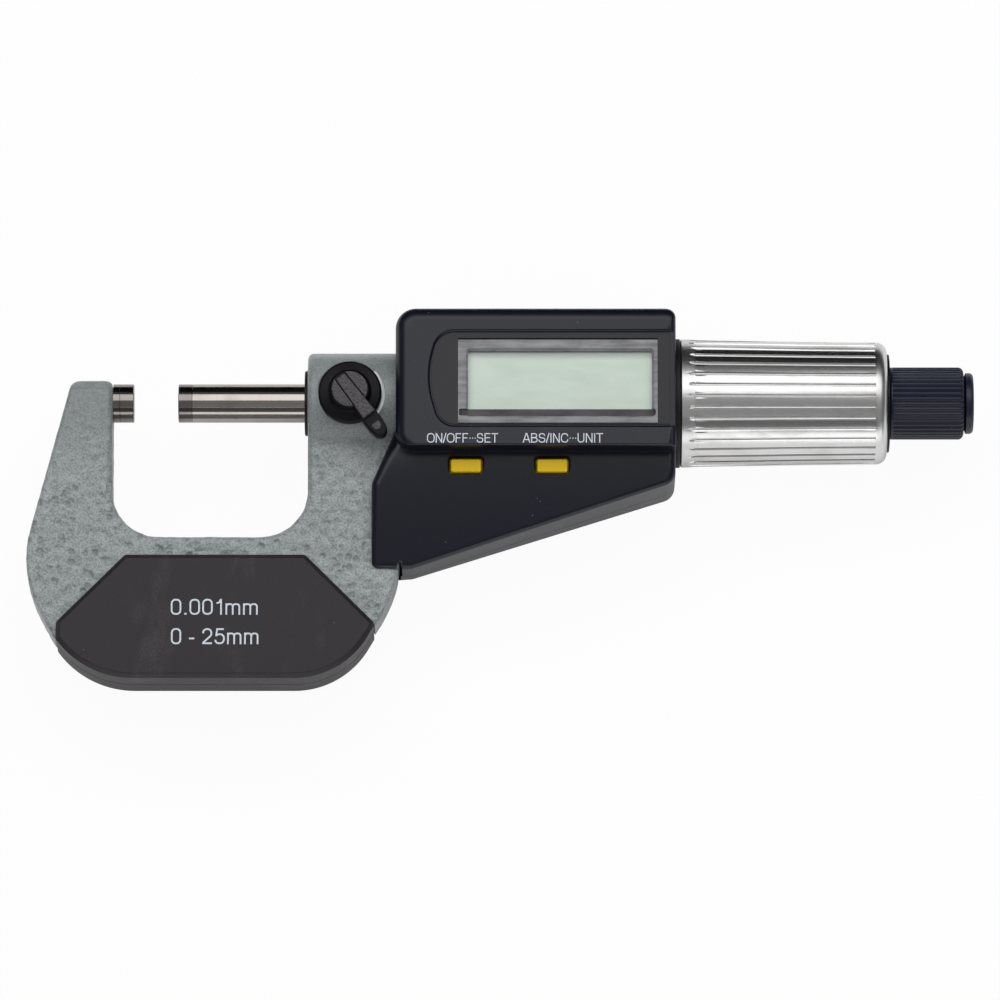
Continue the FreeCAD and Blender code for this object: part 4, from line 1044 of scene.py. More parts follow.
@dataclass(frozen=True)
class Web:
    """Outline of the forged web, shared by the frame and its grips."""

    half: float = 4.5
    throat_left: float = -3.5
    throat_right: float = 29.4
    throat_floor: float = -23.75
    throat_round: float = 8.0
    arm_top: float = 3.4
    arm_outer: float = -10.4
    arm_rounds: tuple[float, float] = (1.8, 1.25)
    throat_edge: float = 1.15
    outer_edge: float = 0.7
    heel: tuple[float, float, float] = (-19.25, -29.9, 19.6)
    foot_left: tuple[float, float, float] = (-9.3, -48.4, 16.0)
    foot_right: tuple[float, float, float] = (35.35, -48.4, 14.4)
    hip: tuple[float, float, float] = (45.05, -32.15, 21.7)
    grip_wall: float = 1.2
    grip_left: float = -12.75
    grip_right: float = 40.6
    grip_top: float = -27.25
    grip_knee: float = -38.8
    grip_floor: float = -49.6
    grip_round: float = 0.9

    def loop(self, step: float = 3.0) -> np.ndarray:
        """The web's outline.

        Args:
            step: the most degrees between two points of an arc.

        Returns:
            The outline's points.
        """
        return rounded([
            (self.arm_outer, self.arm_top, self.arm_rounds[0]), self.heel, self.foot_left,
            self.foot_right, self.hip,
            (self.hip[0], 0.0, 0.0), (self.throat_right, 0.0, 0.0),
            (self.throat_right, self.throat_floor, self.throat_round),
            (self.throat_left, self.throat_floor, self.throat_round),
            (self.throat_left, self.arm_top, self.arm_rounds[1]),
        ], step=step)

    def edge_round(self, loop: np.ndarray) -> np.ndarray:
        """Radius of the painted edge at each point: wide round the throat, narrow outside."""
        wide = ((loop[:, 0] > self.throat_left - 0.5) & (loop[:, 0] < self.throat_right + 0.1)
                & (loop[:, 1] > self.throat_floor - 0.5))
        return np.where(wide, self.throat_edge, self.outer_edge)

    def inner(self) -> np.ndarray:
        """The outline drawn in by the grips' wall."""
        loop = self.loop()
        return loop + inward(loop) * self.grip_wall

    def zone(self) -> Corners:
        """The six-sided field that the grips cover.

        Returns:
            Its corners.
        """
        reach = self.grip_top - self.grip_knee
        return [
            (self.grip_left, self.grip_floor, 0), (self.grip_right, self.grip_floor, 0),
            (self.grip_right, self.grip_knee, 0), (self.grip_right - reach, self.grip_top, 0),
            (self.grip_left + reach, self.grip_top, 0), (self.grip_left, self.grip_knee, 0),
        ]

    def grip_outline(self) -> np.ndarray:
        """Outline of a grip: the web's lower edge closed by the field's upper sides.

        Returns:
            The outline's points.
        """
        loop = self.loop()
        ahead = np.roll(loop, -1, 0)
        low = loop[:, 1] < self.grip_knee + 2
        keep = loop[(loop[:, 0] > self.grip_left) & (loop[:, 0] < self.grip_right) & low]
        ends = []
        for edge in (self.grip_left, self.grip_right):
            crosses = (loop[:, 0] - edge) * (ahead[:, 0] - edge) < 0
            first = loop[crosses & low][0]
            after = ahead[crosses & low][0]
            share = (edge - first[0]) / (after[0] - first[0])
            ends.append((edge, first[1] + share * (after[1] - first[1]), 0.0))
        reach, r = self.grip_top - self.grip_knee, self.grip_round
        return rounded([ends[0]] + [(x, y, 0.0) for x, y in keep] + [
            ends[1], (self.grip_right, self.grip_knee, r), (self.grip_right - reach, self.grip_top, r),
            (self.grip_left + reach, self.grip_top, r), (self.grip_left, self.grip_knee, r),
        ])


@dataclass
class ForgedFrame:
    """Enamelled frame with its boss, machined faces and bores."""

    finishes: Finishes
    web: Web = field(default_factory=Web)
    voxel: float = 0.34
    arm_bevel: float = 1.85
    boss_radius: float = 8.45
    boss_end: float = 45.85
    hub_radius: float = 7.5
    hub_end: float = 57.85
    fillet: float = 2.2
    lock_place: float = 36.75
    spot_level: float = 7.5
    spot_radius: float = 5.72
    anvil_end: float = -9.1
    anvil_bore: float = 2.0
    wiper_bore: float = 5.5
    wiper_depth: float = 1.2
    spindle_bore: float = 3.3
    thread_room: float = 44.2
    thread_bore: float = 4.5
    sleeve_bore: float = 6.0
    stud_bore: float = 2.05
    dent: float = 0.45

    def arm_wedge(self, side: int) -> Skin:
        """The wedge that bevels the arm's end on one side.

        Args:
            side: 1 for the front and -1 for the rear.

        Returns:
            The wedge's surface.
        """
        top, drop, half = self.web.arm_top, self.arm_bevel, self.web.half
        section = np.array([[top - drop, half + 0.05], [top + 1, half - drop - 1.05], [top + 1, half + 1],
                            [top - drop, half + 1]])
        return beam(section, -20.0, 25.0, side)

    def boss_fillet(self, side: int) -> Skin:
        """The hollow round between boss and web on one side.

        Its circle touches the web's face and the boss, so its centre stands at the fillet's
        radius above the face and at both radii from the boss's axis.

        Args:
            side: 1 for the front and -1 for the rear.

        Returns:
            The round's surface.
        """
        half, r = self.web.half, self.fillet
        rise = half + r
        out = -math.sqrt((self.boss_radius + r) ** 2 - rise**2)
        turn = math.atan2(-out, rise)
        angle = np.linspace(0, turn, 9)
        arc = np.stack([out + r * np.sin(angle), rise - r * np.cos(angle)], 1)
        core = np.array([[arc[-1, 0] + 1.5, arc[-1, 1] - 0.6], [arc[-1, 0] + 1.5, half - 1], [out, half - 1]])
        section = np.concatenate([arc, core])[::-1]
        start = self.web.throat_right
        return beam(section, start + 0.5, self.boss_end - start - 0.5, side)

    def blank(self) -> bpy.types.Object:
        """The painted body: web and boss run together and softened as under thick enamel.

        Returns:
            The body, not yet dented or bored.
        """
        web, half = self.web, self.web.half
        loop = web.loop()
        front = rolled(loop, web.edge_round(loop), 0.0, half)
        rear = rolled(loop, web.edge_round(loop), 0.0, -half)
        body = Skin().rings(np.concatenate([rear[:-1], front])).piece("frame_body")
        field_piece = Skin().slab(web.zone(), [(0, -half - 1), (0, half + 1)]).piece("grip_field")
        carve(field_piece, Skin().slab(web.inner(), [(0, -half - 2), (0, half + 2)]))
        carve(body, field_piece)
        for side in (-1, 1):
            carve(body, self.arm_wedge(side))
            carve(body, self.boss_fillet(side), Carve.ADD)
        boss = Skin().lathe([(web.throat_right, self.boss_radius - 0.6, 0),
                             (web.throat_right + 0.6, self.boss_radius, 0.3),
                             (self.boss_end, self.boss_radius, 0), (self.boss_end, self.hub_radius, 0),
                             (self.hub_end, self.hub_radius, 0)])
        carve(body, boss, Carve.ADD)
        melt = body.modifiers.new("melt", "REMESH")
        melt.mode = "VOXEL"
        melt.voxel_size = self.voxel * MM
        soften = body.modifiers.new("soften", "SMOOTH")
        soften.factor = 0.5
        soften.iterations = 2
        return settle(body)

    def hammer(self, body: bpy.types.Object) -> None:
        """Dent the enamel.

        Each point moves along its normal by the depth times h - 0.55, where h is
        1.6 |c - 0.5| + 0.8 (f - 0.5) of coarse lumps c and fine lumps f. The depth fades on the
        arm's end, the boss and the side walls and is full on the faces of the heel and the bow.

        Args:
            body: the painted body.
        """
        points = places(body)
        normals = np.zeros(len(points) * 3, np.float32)
        body.data.vertices.foreach_get("normal", normals)
        coarse = lumps(points, 1.6, 11)
        fine = lumps(points + 100.0, 0.8, 12)
        region = lumps(points + 50.0, 9.0, 13)
        height = np.abs(coarse - 0.5) * 1.6 + (fine - 0.5) * 0.8
        down = np.clip((-2.0 - points[:, 1]) / 18.0, 0.0, 1.0)
        near_boss = np.clip((points[:, 0] - 26.0) / 4.0, 0, 1) * np.clip((points[:, 1] + 12.0) / 4.0, 0, 1)
        flat = 0.25 + 0.75 * np.clip((np.abs(normals.reshape(-1, 3)[:, 2]) - 0.4) / 0.5, 0.0, 1.0)
        depth = self.dent * (0.3 + 0.7 * down) * (1 - 0.75 * near_boss) * (0.55 + 0.7 * region) * flat
        put(body, points + normals.reshape(-1, 3) * ((height - 0.55) * depth)[:, None])

    def build(self) -> None:
        """Make the frame."""
        body = self.blank()
        self.hammer(body)
        web, steel = self.web, self.finishes.machined
        body.data.materials.clear()
        body.data.materials.append(self.finishes.enamel)
        wiper_end, sleeve_start = web.throat_right + self.wiper_depth, self.boss_end + 0.1
        bores = Skin()
        bores.lathe([(self.anvil_end, self.anvil_bore, 0), (web.throat_left + 1, self.anvil_bore, 0)],
                    count=48)
        bores.lathe([(web.throat_right - 1, self.wiper_bore, 0), (wiper_end, self.wiper_bore, 0),
                     (wiper_end, self.spindle_bore, 0), (self.thread_room, self.spindle_bore, 0),
                     (self.thread_room, self.thread_bore, 0), (sleeve_start, self.thread_bore, 0),
                     (sleeve_start, self.sleeve_bore, 0), (self.hub_end + 1, self.sleeve_bore, 0)])
        carve(body, bores, finish=steel)
        spot = Skin().lathe([(0.0, self.stud_bore, 0), (self.spot_level, self.stud_bore, 0),
                             (self.spot_level, self.spot_radius, 0),
                             (self.boss_radius + 1, self.spot_radius, 0)],
                            Axis.ALONG_Z, (self.lock_place, 0.0))
        carve(body, spot, finish=steel)
        dress(body, self.finishes.enamel, "frame_and_housing", "frame_paint", "frame")


@dataclass
class Grips:
    """Two moulded grip plates with lettering on the front one."""

    finishes: Finishes
    web: Web = field(default_factory=Web)
    face: float = 6.4
    bevel: float = 0.8
    drop: float = 0.65
    screws: tuple[float, float] = (1.05, 26.35)
    screw_row: float = -37.825
    head_radius: float = 2.2
    head_depth: float = 1.0
    shank_radius: float = 1.3
    first_row: Box = (6.54, 21.27, -37.7, -35.0)
    second_row: Box = (6.6, 21.4, -42.75, -40.0)

    def build(self) -> None:
        """Make both plates and the words."""
        outline = self.web.grip_outline()
        core_loop = self.web.inner()
        half = self.web.half
        for node, side in (("grip_front", 1), ("grip_rear", -1)):
            front = [(0.2, 0.0), (0.0, 0.2), (0.0, self.face - self.drop - 0.1),
                     (0.06, self.face - self.drop), (self.bevel - 0.1, self.face - 0.05),
                     (self.bevel, self.face)]
            levels = front if side > 0 else [(inset, -z) for inset, z in reversed(front)]
            plate = Skin().slab(outline, levels).piece(node + "_plate")
            low, high = (-1.0, half) if side > 0 else (-half, 1.0)
            carve(plate, Skin().slab(core_loop, [(0, low), (0, high)]))
            if side < 0:
                heads = Skin()
                head, shank, step = self.head_radius, self.shank_radius, self.head_depth - self.face
                for x in self.screws:
                    heads.lathe([(-self.face - 1, head, 0), (step, head, 0), (step, shank, 0),
                                 (0.0, shank, 0)], Axis.ALONG_Z, (x, self.screw_row), 48)
                carve(plate, heads)
            dress(plate, self.finishes.grip, "frame_and_housing", "grip_plastic", node)
        ink = self.finishes.ink
        lettering("resolution_words", "0.001mm", self.first_row, self.face, ink, "frame_and_housing")
        lettering("range_words", "0 - 25mm", self.second_row, self.face, ink, "frame_and_housing")


@dataclass
class MeasuringLine:
    """Anvil, spindle, their carbide faces and the wiper ring."""

    finishes: Finishes
    radius: float = 3.25
    gap: float = 7.5
    tip: float = 2.35
    tip_edge: float = 0.12
    anvil_end: float = -9.1
    anvil_base: float = -3.5
    anvil_shank: float = 2.0
    spindle_end: float = 104.8
    thread_start: float = 51.9
    thread_radius: float = 3.5
    thread_depth: float = 0.25
    pitch: float = 0.5
    turns: int = 82
    plain_start: float = 93.5
    keyway_start: float = 75.9
    keyway_floor: float = 2.65
    keyway_half: float = 0.8
    wiper: Box = (28.85, 30.6, 3.3, 5.5)
    groove: float = 0.05

    def build(self) -> None:
        """Make the pieces."""
        steel, carbide = self.finishes.spindle, self.finishes.carbide
        r, face, seam, edge = self.radius, self.gap, self.groove, self.tip_edge
        anvil = Skin().lathe([(self.anvil_end, self.anvil_shank, 0), (self.anvil_base, self.anvil_shank, 0),
                              (self.anvil_base, r, 0), (-self.tip - seam, r, 0), (-self.tip, r - seam, 0)])
        dress(anvil.piece("anvil_stub"), carbide, "frame_and_housing", "ground_steel", "anvil")
        tip = Skin().lathe([(-self.tip, r - seam, 0), (-self.tip + seam, r, 0), (-edge, r, 0),
                            (0, r - edge, 0)])
        dress(tip.piece("anvil_face"), carbide, "frame_and_housing", "carbide", "anvil_tip")
        tip = Skin().lathe([(face, r - edge, 0), (face + edge, r, 0), (face + self.tip - seam, r, 0),
                            (face + self.tip, r - seam, 0)])
        dress(tip.piece("spindle_face"), carbide, "spindle_line", "carbide", "spindle_tip")
        thread = [(self.thread_start + self.pitch * i + self.pitch / 2 * j,
                   self.thread_radius - self.thread_depth * j, 0)
                  for i in range(self.turns) for j in range(2)]
        shank = [(face + self.tip, r - seam, 0), (face + self.tip + seam, r, 0),
                 (self.thread_start - 0.05, r, 0)]
        end = [(self.plain_start, self.thread_radius - 0.1, 0),
               (self.spindle_end - 0.3, self.thread_radius - 0.1, 0),
               (self.spindle_end, self.thread_radius - 0.4, 0)]
        body = Skin().lathe(shank + thread + end).piece("spindle_shank")
        keyway = (self.keyway_start, self.spindle_end + 1, -self.keyway_half, self.keyway_half)
        carve(body, block(keyway, self.keyway_floor, 4.5))
        dress(body, steel, "spindle_line", "ground_steel", "spindle")
        start, end, bore, rim = self.wiper
        wiper = Skin().lathe([(start, rim, 0.25), (end, rim, 0), (end, bore, 0), (start, bore, 0)],
                             hollow=True)
        dress(wiper.piece("spindle_wiper"), self.finishes.rubber, "frame_and_housing", "black_rubber",
              "wiper_ring")


@dataclass
class SpindleLock:
    """Clamp lever: a dished disc, a textured pad and bar and a low tongue."""

    finishes: Finishes
    place: tuple[float, float] = (36.55, 0.0)
    angle: float = -53.0
    low: float = 7.8
    top: float = 9.3
    crown: float = 11.7

    def swing(self, corners: Corners) -> Corners:
        """Turn corners drawn along +X to the lever's direction and move them to the lock."""
        a = math.radians(self.angle)
        return [(self.place[0] + x * math.cos(a) - y * math.sin(a),
                 self.place[1] + x * math.sin(a) + y * math.cos(a), r) for x, y, r in corners]

    def build(self) -> None:
        """Make the disc with its tongue, the two pad halves and the bar."""
        black, texture = self.finishes.black, self.finishes.lever
        crown, top = self.crown, self.top
        disc = Skin().lathe([(self.low, 5.0, 0), (self.low, 5.35, 0.2), (top - 0.35, 5.35, 0.35),
                             (top - 0.05, 5.0, 0.2), (top + 0.35, 3.5, 0.5), (crown - 0.45, 3.1, 0)],
                            Axis.ALONG_Z, self.place)
        body = disc.piece("lock_disc")
        tongue = self.swing([(2.5, -1.45, 0), (7.4, -1.45, 0.6), (9.1, -1.15, 1.0), (9.9, 0.0, 0.9),
                             (9.1, 1.15, 1.0), (7.4, 1.45, 0.6), (2.5, 1.45, 0)])
        carve(body, Skin().slab(tongue, [(0.15, self.low + 0.5), (0, self.low + 0.65)]
                                + round_edge(0.35, crown - 1.0)), Carve.ADD)
        dress(body, black, "spindle_lock", "knob_plastic", "lock_knob")
        pip = self.swing([(7.05, -0.78, 0.2), (8.1, -0.7, 0.5), (8.35, 0.0, 0.4), (8.1, 0.7, 0.5),
                          (7.05, 0.78, 0.2)])
        raised = Skin().slab(pip, [(0, crown - 1.3)] + round_edge(0.16, crown - 0.88))
        dress(raised.piece("lever_pip"), texture, "spindle_lock", "knob_plastic")
        pad = Skin().lathe([(crown - 0.6, 3.0, 0), (crown - 0.1, 3.0, 0.1),
                            (crown, 2.6, 0)], Axis.ALONG_Z, self.place)
        body = pad.piece("lever_pad")
        slot = self.swing([(-4.0, -1.08, 0), (4.0, -1.3, 0), (4.0, 1.3, 0), (-4.0, 1.08, 0)])
        carve(body, Skin().slab(slot, [(0, crown - 0.5), (0, crown + 1)]))
        dress(body, texture, "spindle_lock", "knob_plastic", "lock_cap")
        bar = self.swing([(-2.65, -0.88, 0.14), (5.45, -1.18, 0.14), (5.45, 1.18, 0.14), (-2.65, 0.88, 0.14)])
        strip = Skin().slab(bar, [(0.0, top - 0.2)] + round_edge(0.12, crown + 0.04))
        dress(strip.piece("lever_bar"), texture, "spindle_lock", "knob_plastic")


@dataclass
class Housing:
    """Front and rear shells of the display unit with their screw sinks and cell cover."""

    finishes: Finishes
    web: Web = field(default_factory=Web)
    left: float = 44.25
    right: float = 91.35
    top: float = 13.95
    low: float = -10.0
    front: float = 13.0
    back: float = -11.5
    wing_front: float = 8.0
    wing_back: float = -7.0
    wing_low: float = -29.5
    split: float = -1.5
    sag: float = 2.9
    sag_start: float = -10.5
    seam: float = 0.1
    cell: tuple[float, float] = (54.5, -15.6)
    cavity: Box = (45.75, 89.85, -8.5, 12.05)
    key_room: Box = (51.0, 76.0, -16.0, -8.0)
    window: Box = (54.45, 88.6, -6.3, 8.4)
    notch: Box = (44.5, 45.35, -31.0, -28.3)
    first_words: Box = (49.55, 61.5, -9.6, -7.96)
    second_words: Box = (65.65, 79.12, -9.6, -7.96)
    boss_room: float = 8.5
    core_room: float = 7.8
    well_radius: float = 7.3
    cover_room: float = 6.9
    cell_room: float = 6.1
    head_radius: float = 1.8
    head_depth: float = 0.9
    shank_radius: float = 1.1

    def wing_loop(self) -> np.ndarray:
        """Outline of the slanted lower part, which flares out from the box's left side."""
        return rounded([
            (self.left + 0.4, -3.0, 0), (44.1, -6.1, 7.0), (40.2, -15.2, 2.5), (40.2, self.wing_low, 1.2),
            (46.9, self.wing_low, 3.2), (self.right, -15.05, 2.5), (self.right, -3.0, 0),
        ], step=5)

    def front_round(self, loop: np.ndarray) -> np.ndarray:
        """Radius of the wing's front edge: wide on the flare and the right side, narrow below.

        Args:
            loop: points of the wing's outline.

        Returns:
            The radius at each point.
        """
        flare = np.interp(loop[:, 1], [-19.0, -14.0, -9.0], [0.95, 1.7, 2.3])
        below = np.interp(loop[:, 0], [50.0, 85.0], [0.95, 0.7])
        right = np.interp(loop[:, 1], [-16.2, -14.2], [0.7, 1.3])
        return np.where(loop[:, 0] < 44.5, flare, np.where(loop[:, 0] > 88.5, right, below))

    def rear_round(self, loop: np.ndarray) -> np.ndarray:
        """Radius of the wing's rear edge: wide along the slanted side and narrower to the right."""
        slant = np.interp(loop[:, 0], [47.0, 80.0], [2.9, 0.8])
        return np.where((loop[:, 0] > 45.5) & (loop[:, 1] < -12.0), slant, 0.8)

    def sink(self, piece: bpy.types.Object) -> None:
        """Let the wing's face fall off towards its foot.

        With s the share of the way from the sag's start to the foot, the face and its round sink
        by the sag times s^1.3, and the wall under them by a share of that which falls to 0 at
        the split.

        Args:
            piece: the wing.
        """
        slice_faces(piece, np.linspace(self.sag_start, self.wing_low + 0.4, 22))
        points = places(piece)
        share = np.clip((self.sag_start - points[:, 1]) / (self.sag_start - self.wing_low), 0, 1)
        above = np.clip((points[:, 2] - self.split) / (self.wing_front - 2.3 - self.split), 0, 1)
        points[:, 2] -= self.sag * share**1.3 * above
        put(piece, points)

    def box_outline(self) -> np.ndarray:
        """Outline of the display box where its shells meet."""
        return rounded([(self.left, self.low, 3.0), (self.right, self.low, 0.0), (self.right, self.top, 1.8),
                        (self.left, self.top, 3.4)], step=9)

    def box_rings(self) -> np.ndarray:
        """Rings of the display box's front.

        The outline at the split rises straight, then runs over to the smaller outline of the
        face. At the angle a the share across is 1 - cos a and the share up sin a. The round is
        2.4 mm deep on the left, 2.3 at the top, 1.3 on the right and 0.35 at the bottom.

        Returns:
            The rings, from the split up.
        """
        outer = self.box_outline()
        inner = rounded([(46.8, self.low + 0.3, 1.3), (self.right - 1.3, self.low + 0.3, 0.0),
                         (self.right - 1.3, 11.6, 0.6), (46.8, 11.6, 1.3)], step=9)
        normal = unit(-inward(outer))
        depth = (np.maximum(-normal[:, 0], 0) ** 2 * 2.4 + np.maximum(normal[:, 1], 0) ** 2 * 2.3
                 + np.maximum(normal[:, 0], 0) ** 2 * 1.3 + np.maximum(-normal[:, 1], 0) ** 2 * 0.35)
        angle = np.linspace(0, math.pi / 2, 11)[:, None]
        flat = outer + (inner - outer) * (1 - np.cos(angle))[..., None]
        height = self.front - depth * (1 - np.sin(angle))
        curve = np.concatenate([flat, height[..., None]], 2)
        foot = tapered(outer, [(self.seam, self.split), (0, self.split + self.seam)])
        return np.concatenate([foot, curve])

    def wing_room(self, foot: float, right_foot: float) -> Corners:
        """Outline of the hollow in the wing, down to the foot and to its height at the right."""
        right, top = self.cavity[1], self.cavity[2]
        return [(46.55, top, 0.3), (46.55, foot, 0.3), (48.3, foot, 0.3), (right, right_foot, 0.3),
                (right, top, 0.3)]

    def clear_frame(self, body: bpy.types.Object, low: float, high: float) -> None:
        """Take away what the frame's hip, its boss and the thimble's core need.

        Args:
            body: the shell.
            low: level at which the hip's room starts.
            high: level at which it ends.
        """
        carve(body, block((38.0, self.web.hip[0] + 0.05, -55.0, 0.0), low, high))
        carve(body, Skin().lathe([(29.0, self.boss_room, 0), (45.9, self.boss_room, 0)]))
        carve(body, Skin().lathe([(88.0, self.core_room, 0), (92.0, self.core_room, 0)]))

    def front_shell(self) -> None:
        """The front shell."""
        body = Skin().rings(self.box_rings()).piece("housing_front_shell")
        loop = self.wing_loop()
        rings = rolled(loop, self.front_round(loop), self.split, self.wing_front, self.seam)
        wing = Skin().rings(rings).piece("wing_front")
        self.sink(wing)
        carve(body, wing, Carve.ADD)
        under = self.split - 1
        carve(body, block(self.cavity, under, 11.2, 0.5))
        carve(body, Skin().slab(self.wing_room(-26.65, -12.05), [(0, under), (0, 4.2)]))
        carve(body, block(self.key_room, 3.0, 6.5))
        lip = [(0.1, 12.5), (0.0, 12.6), (0, 12.72), (-0.1, 12.86), (-0.24, 12.96), (-0.42, 13.02),
               (-0.42, 14.0)]
        carve(body, Skin().slab(self.recess(), lip))
        carve(body, block(self.window, 10.0, 12.7))
        flare = [(0, 5.5), (0, 7.55), (-0.1, 7.7), (-0.28, 7.82), (-0.28, 9)]
        for x in Keys.places:
            hole = rectangle(x - 2.8, x + 2.8, Keys.row - 1.35, Keys.row + 1.45, 0.5)
            carve(body, Skin().slab(hole, flare))
        self.clear_frame(body, under, self.web.half + 0.05)
        carve(body, block(self.notch, under, 6.0))
        dress(body, self.finishes.housing, "frame_and_housing", "housing_plastic", "housing_front")
        for name, words, box in (("on_off_words", "ON/OFF···SET", self.first_words),
                                 ("unit_words", "ABS/INC···UNIT", self.second_words)):
            lettering(name, words, box, self.front, self.finishes.ink, "frame_and_housing", 0.1, 0.06)

    @staticmethod
    def recess() -> np.ndarray:
        """Outline of the label's recess, a D that runs out at the right."""
        return rounded([(95.0, 9.6, 0), (51.4, 9.6, 3.6), (49.3, 1.7, 16.0), (51.7, -6.65, 3.4),
                        (95.0, -6.65, 0)], step=5)

    def rear_shell(self) -> None:
        """The rear shell with its screw sinks and cell seat."""
        levels = round_edge(1.6, self.back, False) + [(0, self.split - self.seam), (self.seam, self.split)]
        body = Skin().slab(self.box_outline(), levels).piece("housing_rear_shell")
        loop = self.wing_loop()
        carve(body, Skin().rings(rolled(loop, self.rear_round(loop), self.split, self.wing_back, self.seam)),
              Carve.ADD)
        over = self.split + 1
        carve(body, block(self.cavity, -10.0, over, 0.5))
        carve(body, Skin().slab(self.wing_room(-25.2, -11.6), [(0, -5.5), (0, over)]))
        well, cover, room, seat = self.well_radius, self.cover_room, self.cell_room, -5.45
        carve(body, Skin().lathe([(self.wing_back + 0.8, well, 0), (0.5, well, 0)], Axis.ALONG_Z, self.cell),
              Carve.ADD)
        carve(body, Skin().lathe([(self.wing_back - 1, cover, 0), (seat, cover, 0), (seat, room, 0),
                                  (1.5, room, 0)], Axis.ALONG_Z, self.cell))
        head, shank = self.head_radius, self.shank_radius
        for x, y, level in self.screw_places():
            step = level + self.head_depth
            carve(body, Skin().lathe([(level - 1, head, 0), (step, head, 0), (step, shank, 0),
                                      (level + 1.9, shank, 0)], Axis.ALONG_Z, (x, y), 48))
        self.clear_frame(body, -self.web.half - 0.05, over)
        dress(body, self.finishes.housing, "frame_and_housing", "housing_plastic", "housing_rear")

    def screw_places(self) -> list[tuple[float, float, float]]:
        """Place and head level of each case screw."""
        return [(48.2, 10.65, self.back), (80.7, 10.65, self.back), (84.8, -12.5, self.wing_back),
                (49.8, -24.15, self.wing_back), (42.65, -22.15, self.wing_back)]

    def cell_cover(self) -> None:
        """The coin-slot cover of the button cell."""
        (x, y), back = self.cell, self.wing_back
        body = Skin().lathe([(back, 6.3, 0), (back, 6.6, 0.25), (back + 0.95, 6.6, 0), (back + 0.95, 6.3, 0)],
                            Axis.ALONG_Z, self.cell).piece("cell_cover_disc")
        slot = rectangle(x - 4.5, x + 4.5, y - 0.6, y + 0.6, 0.58)
        carve(body, Skin().slab(slot, [(0, back - 1), (0, back + 0.5)]))
        dress(body, self.finishes.housing, "cell_cover", "housing_plastic", "battery_cover")

    def build(self) -> None:
        """Make both shells and the cover."""
        self.front_shell()
        self.rear_shell()
        self.cell_cover()


@dataclass
class Display:
    """Label film, bevelled window, a dark sheet round the glass's bright area, holder and display glass. The
    strip of that sheet above the glass is a painted shadow of the border.
    """

    finishes: Finishes
    floor: float = 12.5
    panel_top: float = 11.2
    label_opening: Box = (54.75, 88.3, -6.2, 8.45)
    label_end: Box = (90.35, 96.0, -8.0, 11.0)
    border: Box = (54.6, 88.4, -6.1, 8.25)
    border_opening: Box = (56.4, 87.4, -4.85, 6.4)
    border_groove: Box = (54.95, 87.95, -4.85, -3.65)
    pane: Box = (55.0, 87.9, -4.9, 6.6)
    holder: Box = (54.55, 89.1, -5.85, 8.25)
    holder_room: Box = (55.35, 88.3, -5.05, 7.45)
    panel: Box = (55.38, 88.27, -5.02, 7.42)
    mask_and_shadow: Box = (54.6, 88.5, -5.8, 8.2)
    mask_opening: Box = (56.42, 87.36, -3.5, 6.32)

    def build(self) -> None:
        """Make the pieces."""
        body, floor = "frame_and_housing", self.floor
        levels = [(0.32, floor + 0.005), (0.3, floor + 0.1), (0.34, floor + 0.14)]
        label = Skin().slab(Housing.recess(), levels).piece("display_label")
        carve(label, block(self.label_opening, 12.0, 13.2))
        carve(label, block(self.label_end, 12.0, 13.2))
        dress(label, self.finishes.film, body, "film_print", "display_film")
        border = Skin().slab(rectangle(*self.border), [(0, 11.6), (0, 12.5), (0.06, 12.56)])
        border = border.piece("window_border")
        opening = Skin().slab(rectangle(*self.border_opening, 0.3), [(0, 11.0), (0, 12.1), (-0.35, 12.6)])
        carve(border, opening)
        carve(border, block(self.border_groove, 11.0, 13.0, 0.3))
        dress(border, self.finishes.border, body, "clear_plastic", "display_window")
        pane = block(self.pane, 12.2, 12.3).piece("window_pane")
        dress(pane, self.finishes.pane, body, "clear_plastic")
        holder = block(self.holder, 9.7, 11.2).piece("display_holder")
        carve(holder, block(self.holder_room, 9.0, 12.0))
        dress(holder, self.finishes.holder, body, "holder_plastic", "lcd_holder")
        panel = Skin().slab(rectangle(*self.panel), [(0, 10.2), (0, 11.18), (0.02, self.panel_top)])
        dress(panel.piece("display_panel"), self.finishes.display, body, "display_glass", "lcd_glass")
        # Dark sheet on the glass: its strip above the bright area is a painted shadow of the border's top
        # edge, and below the bright area it shows as the dark band under the display.
        mask_and_shadow = block(self.mask_and_shadow, 11.201, 11.33).piece("display_mask_and_shadow")
        carve(mask_and_shadow, block(self.mask_opening, 11.0, 12.0, 0.15))
        dress(mask_and_shadow, self.finishes.holder, body, "holder_plastic")


@dataclass
class Keys:
    """The two yellow push buttons."""

    finishes: Finishes
    places: ClassVar[tuple[float, float]] = (56.1, 70.6)
    row: ClassVar[float] = -12.5
    top: float = 8.6

    def build(self) -> None:
        """Make both buttons."""
        for x, node, body in zip(self.places, ("button_on_off", "button_unit"), ("on_off_key", "unit_key")):
            flange = rectangle(x - 3.05, x + 3.05, self.row - 1.57, self.row + 1.57, 0.4)
            cap = rectangle(x - 2.55, x + 2.55, self.row - 1.07, self.row + 1.07, 0.35)
            key = Skin().slab(flange, [(0, 5.9), (0, 6.45)]).piece(node + "_cap")
            carve(key, Skin().slab(cap, [(0, 6.2)] + round_edge(0.25, self.top)), Carve.ADD)
            dress(key, self.finishes.yellow, body, "button_plastic", node)


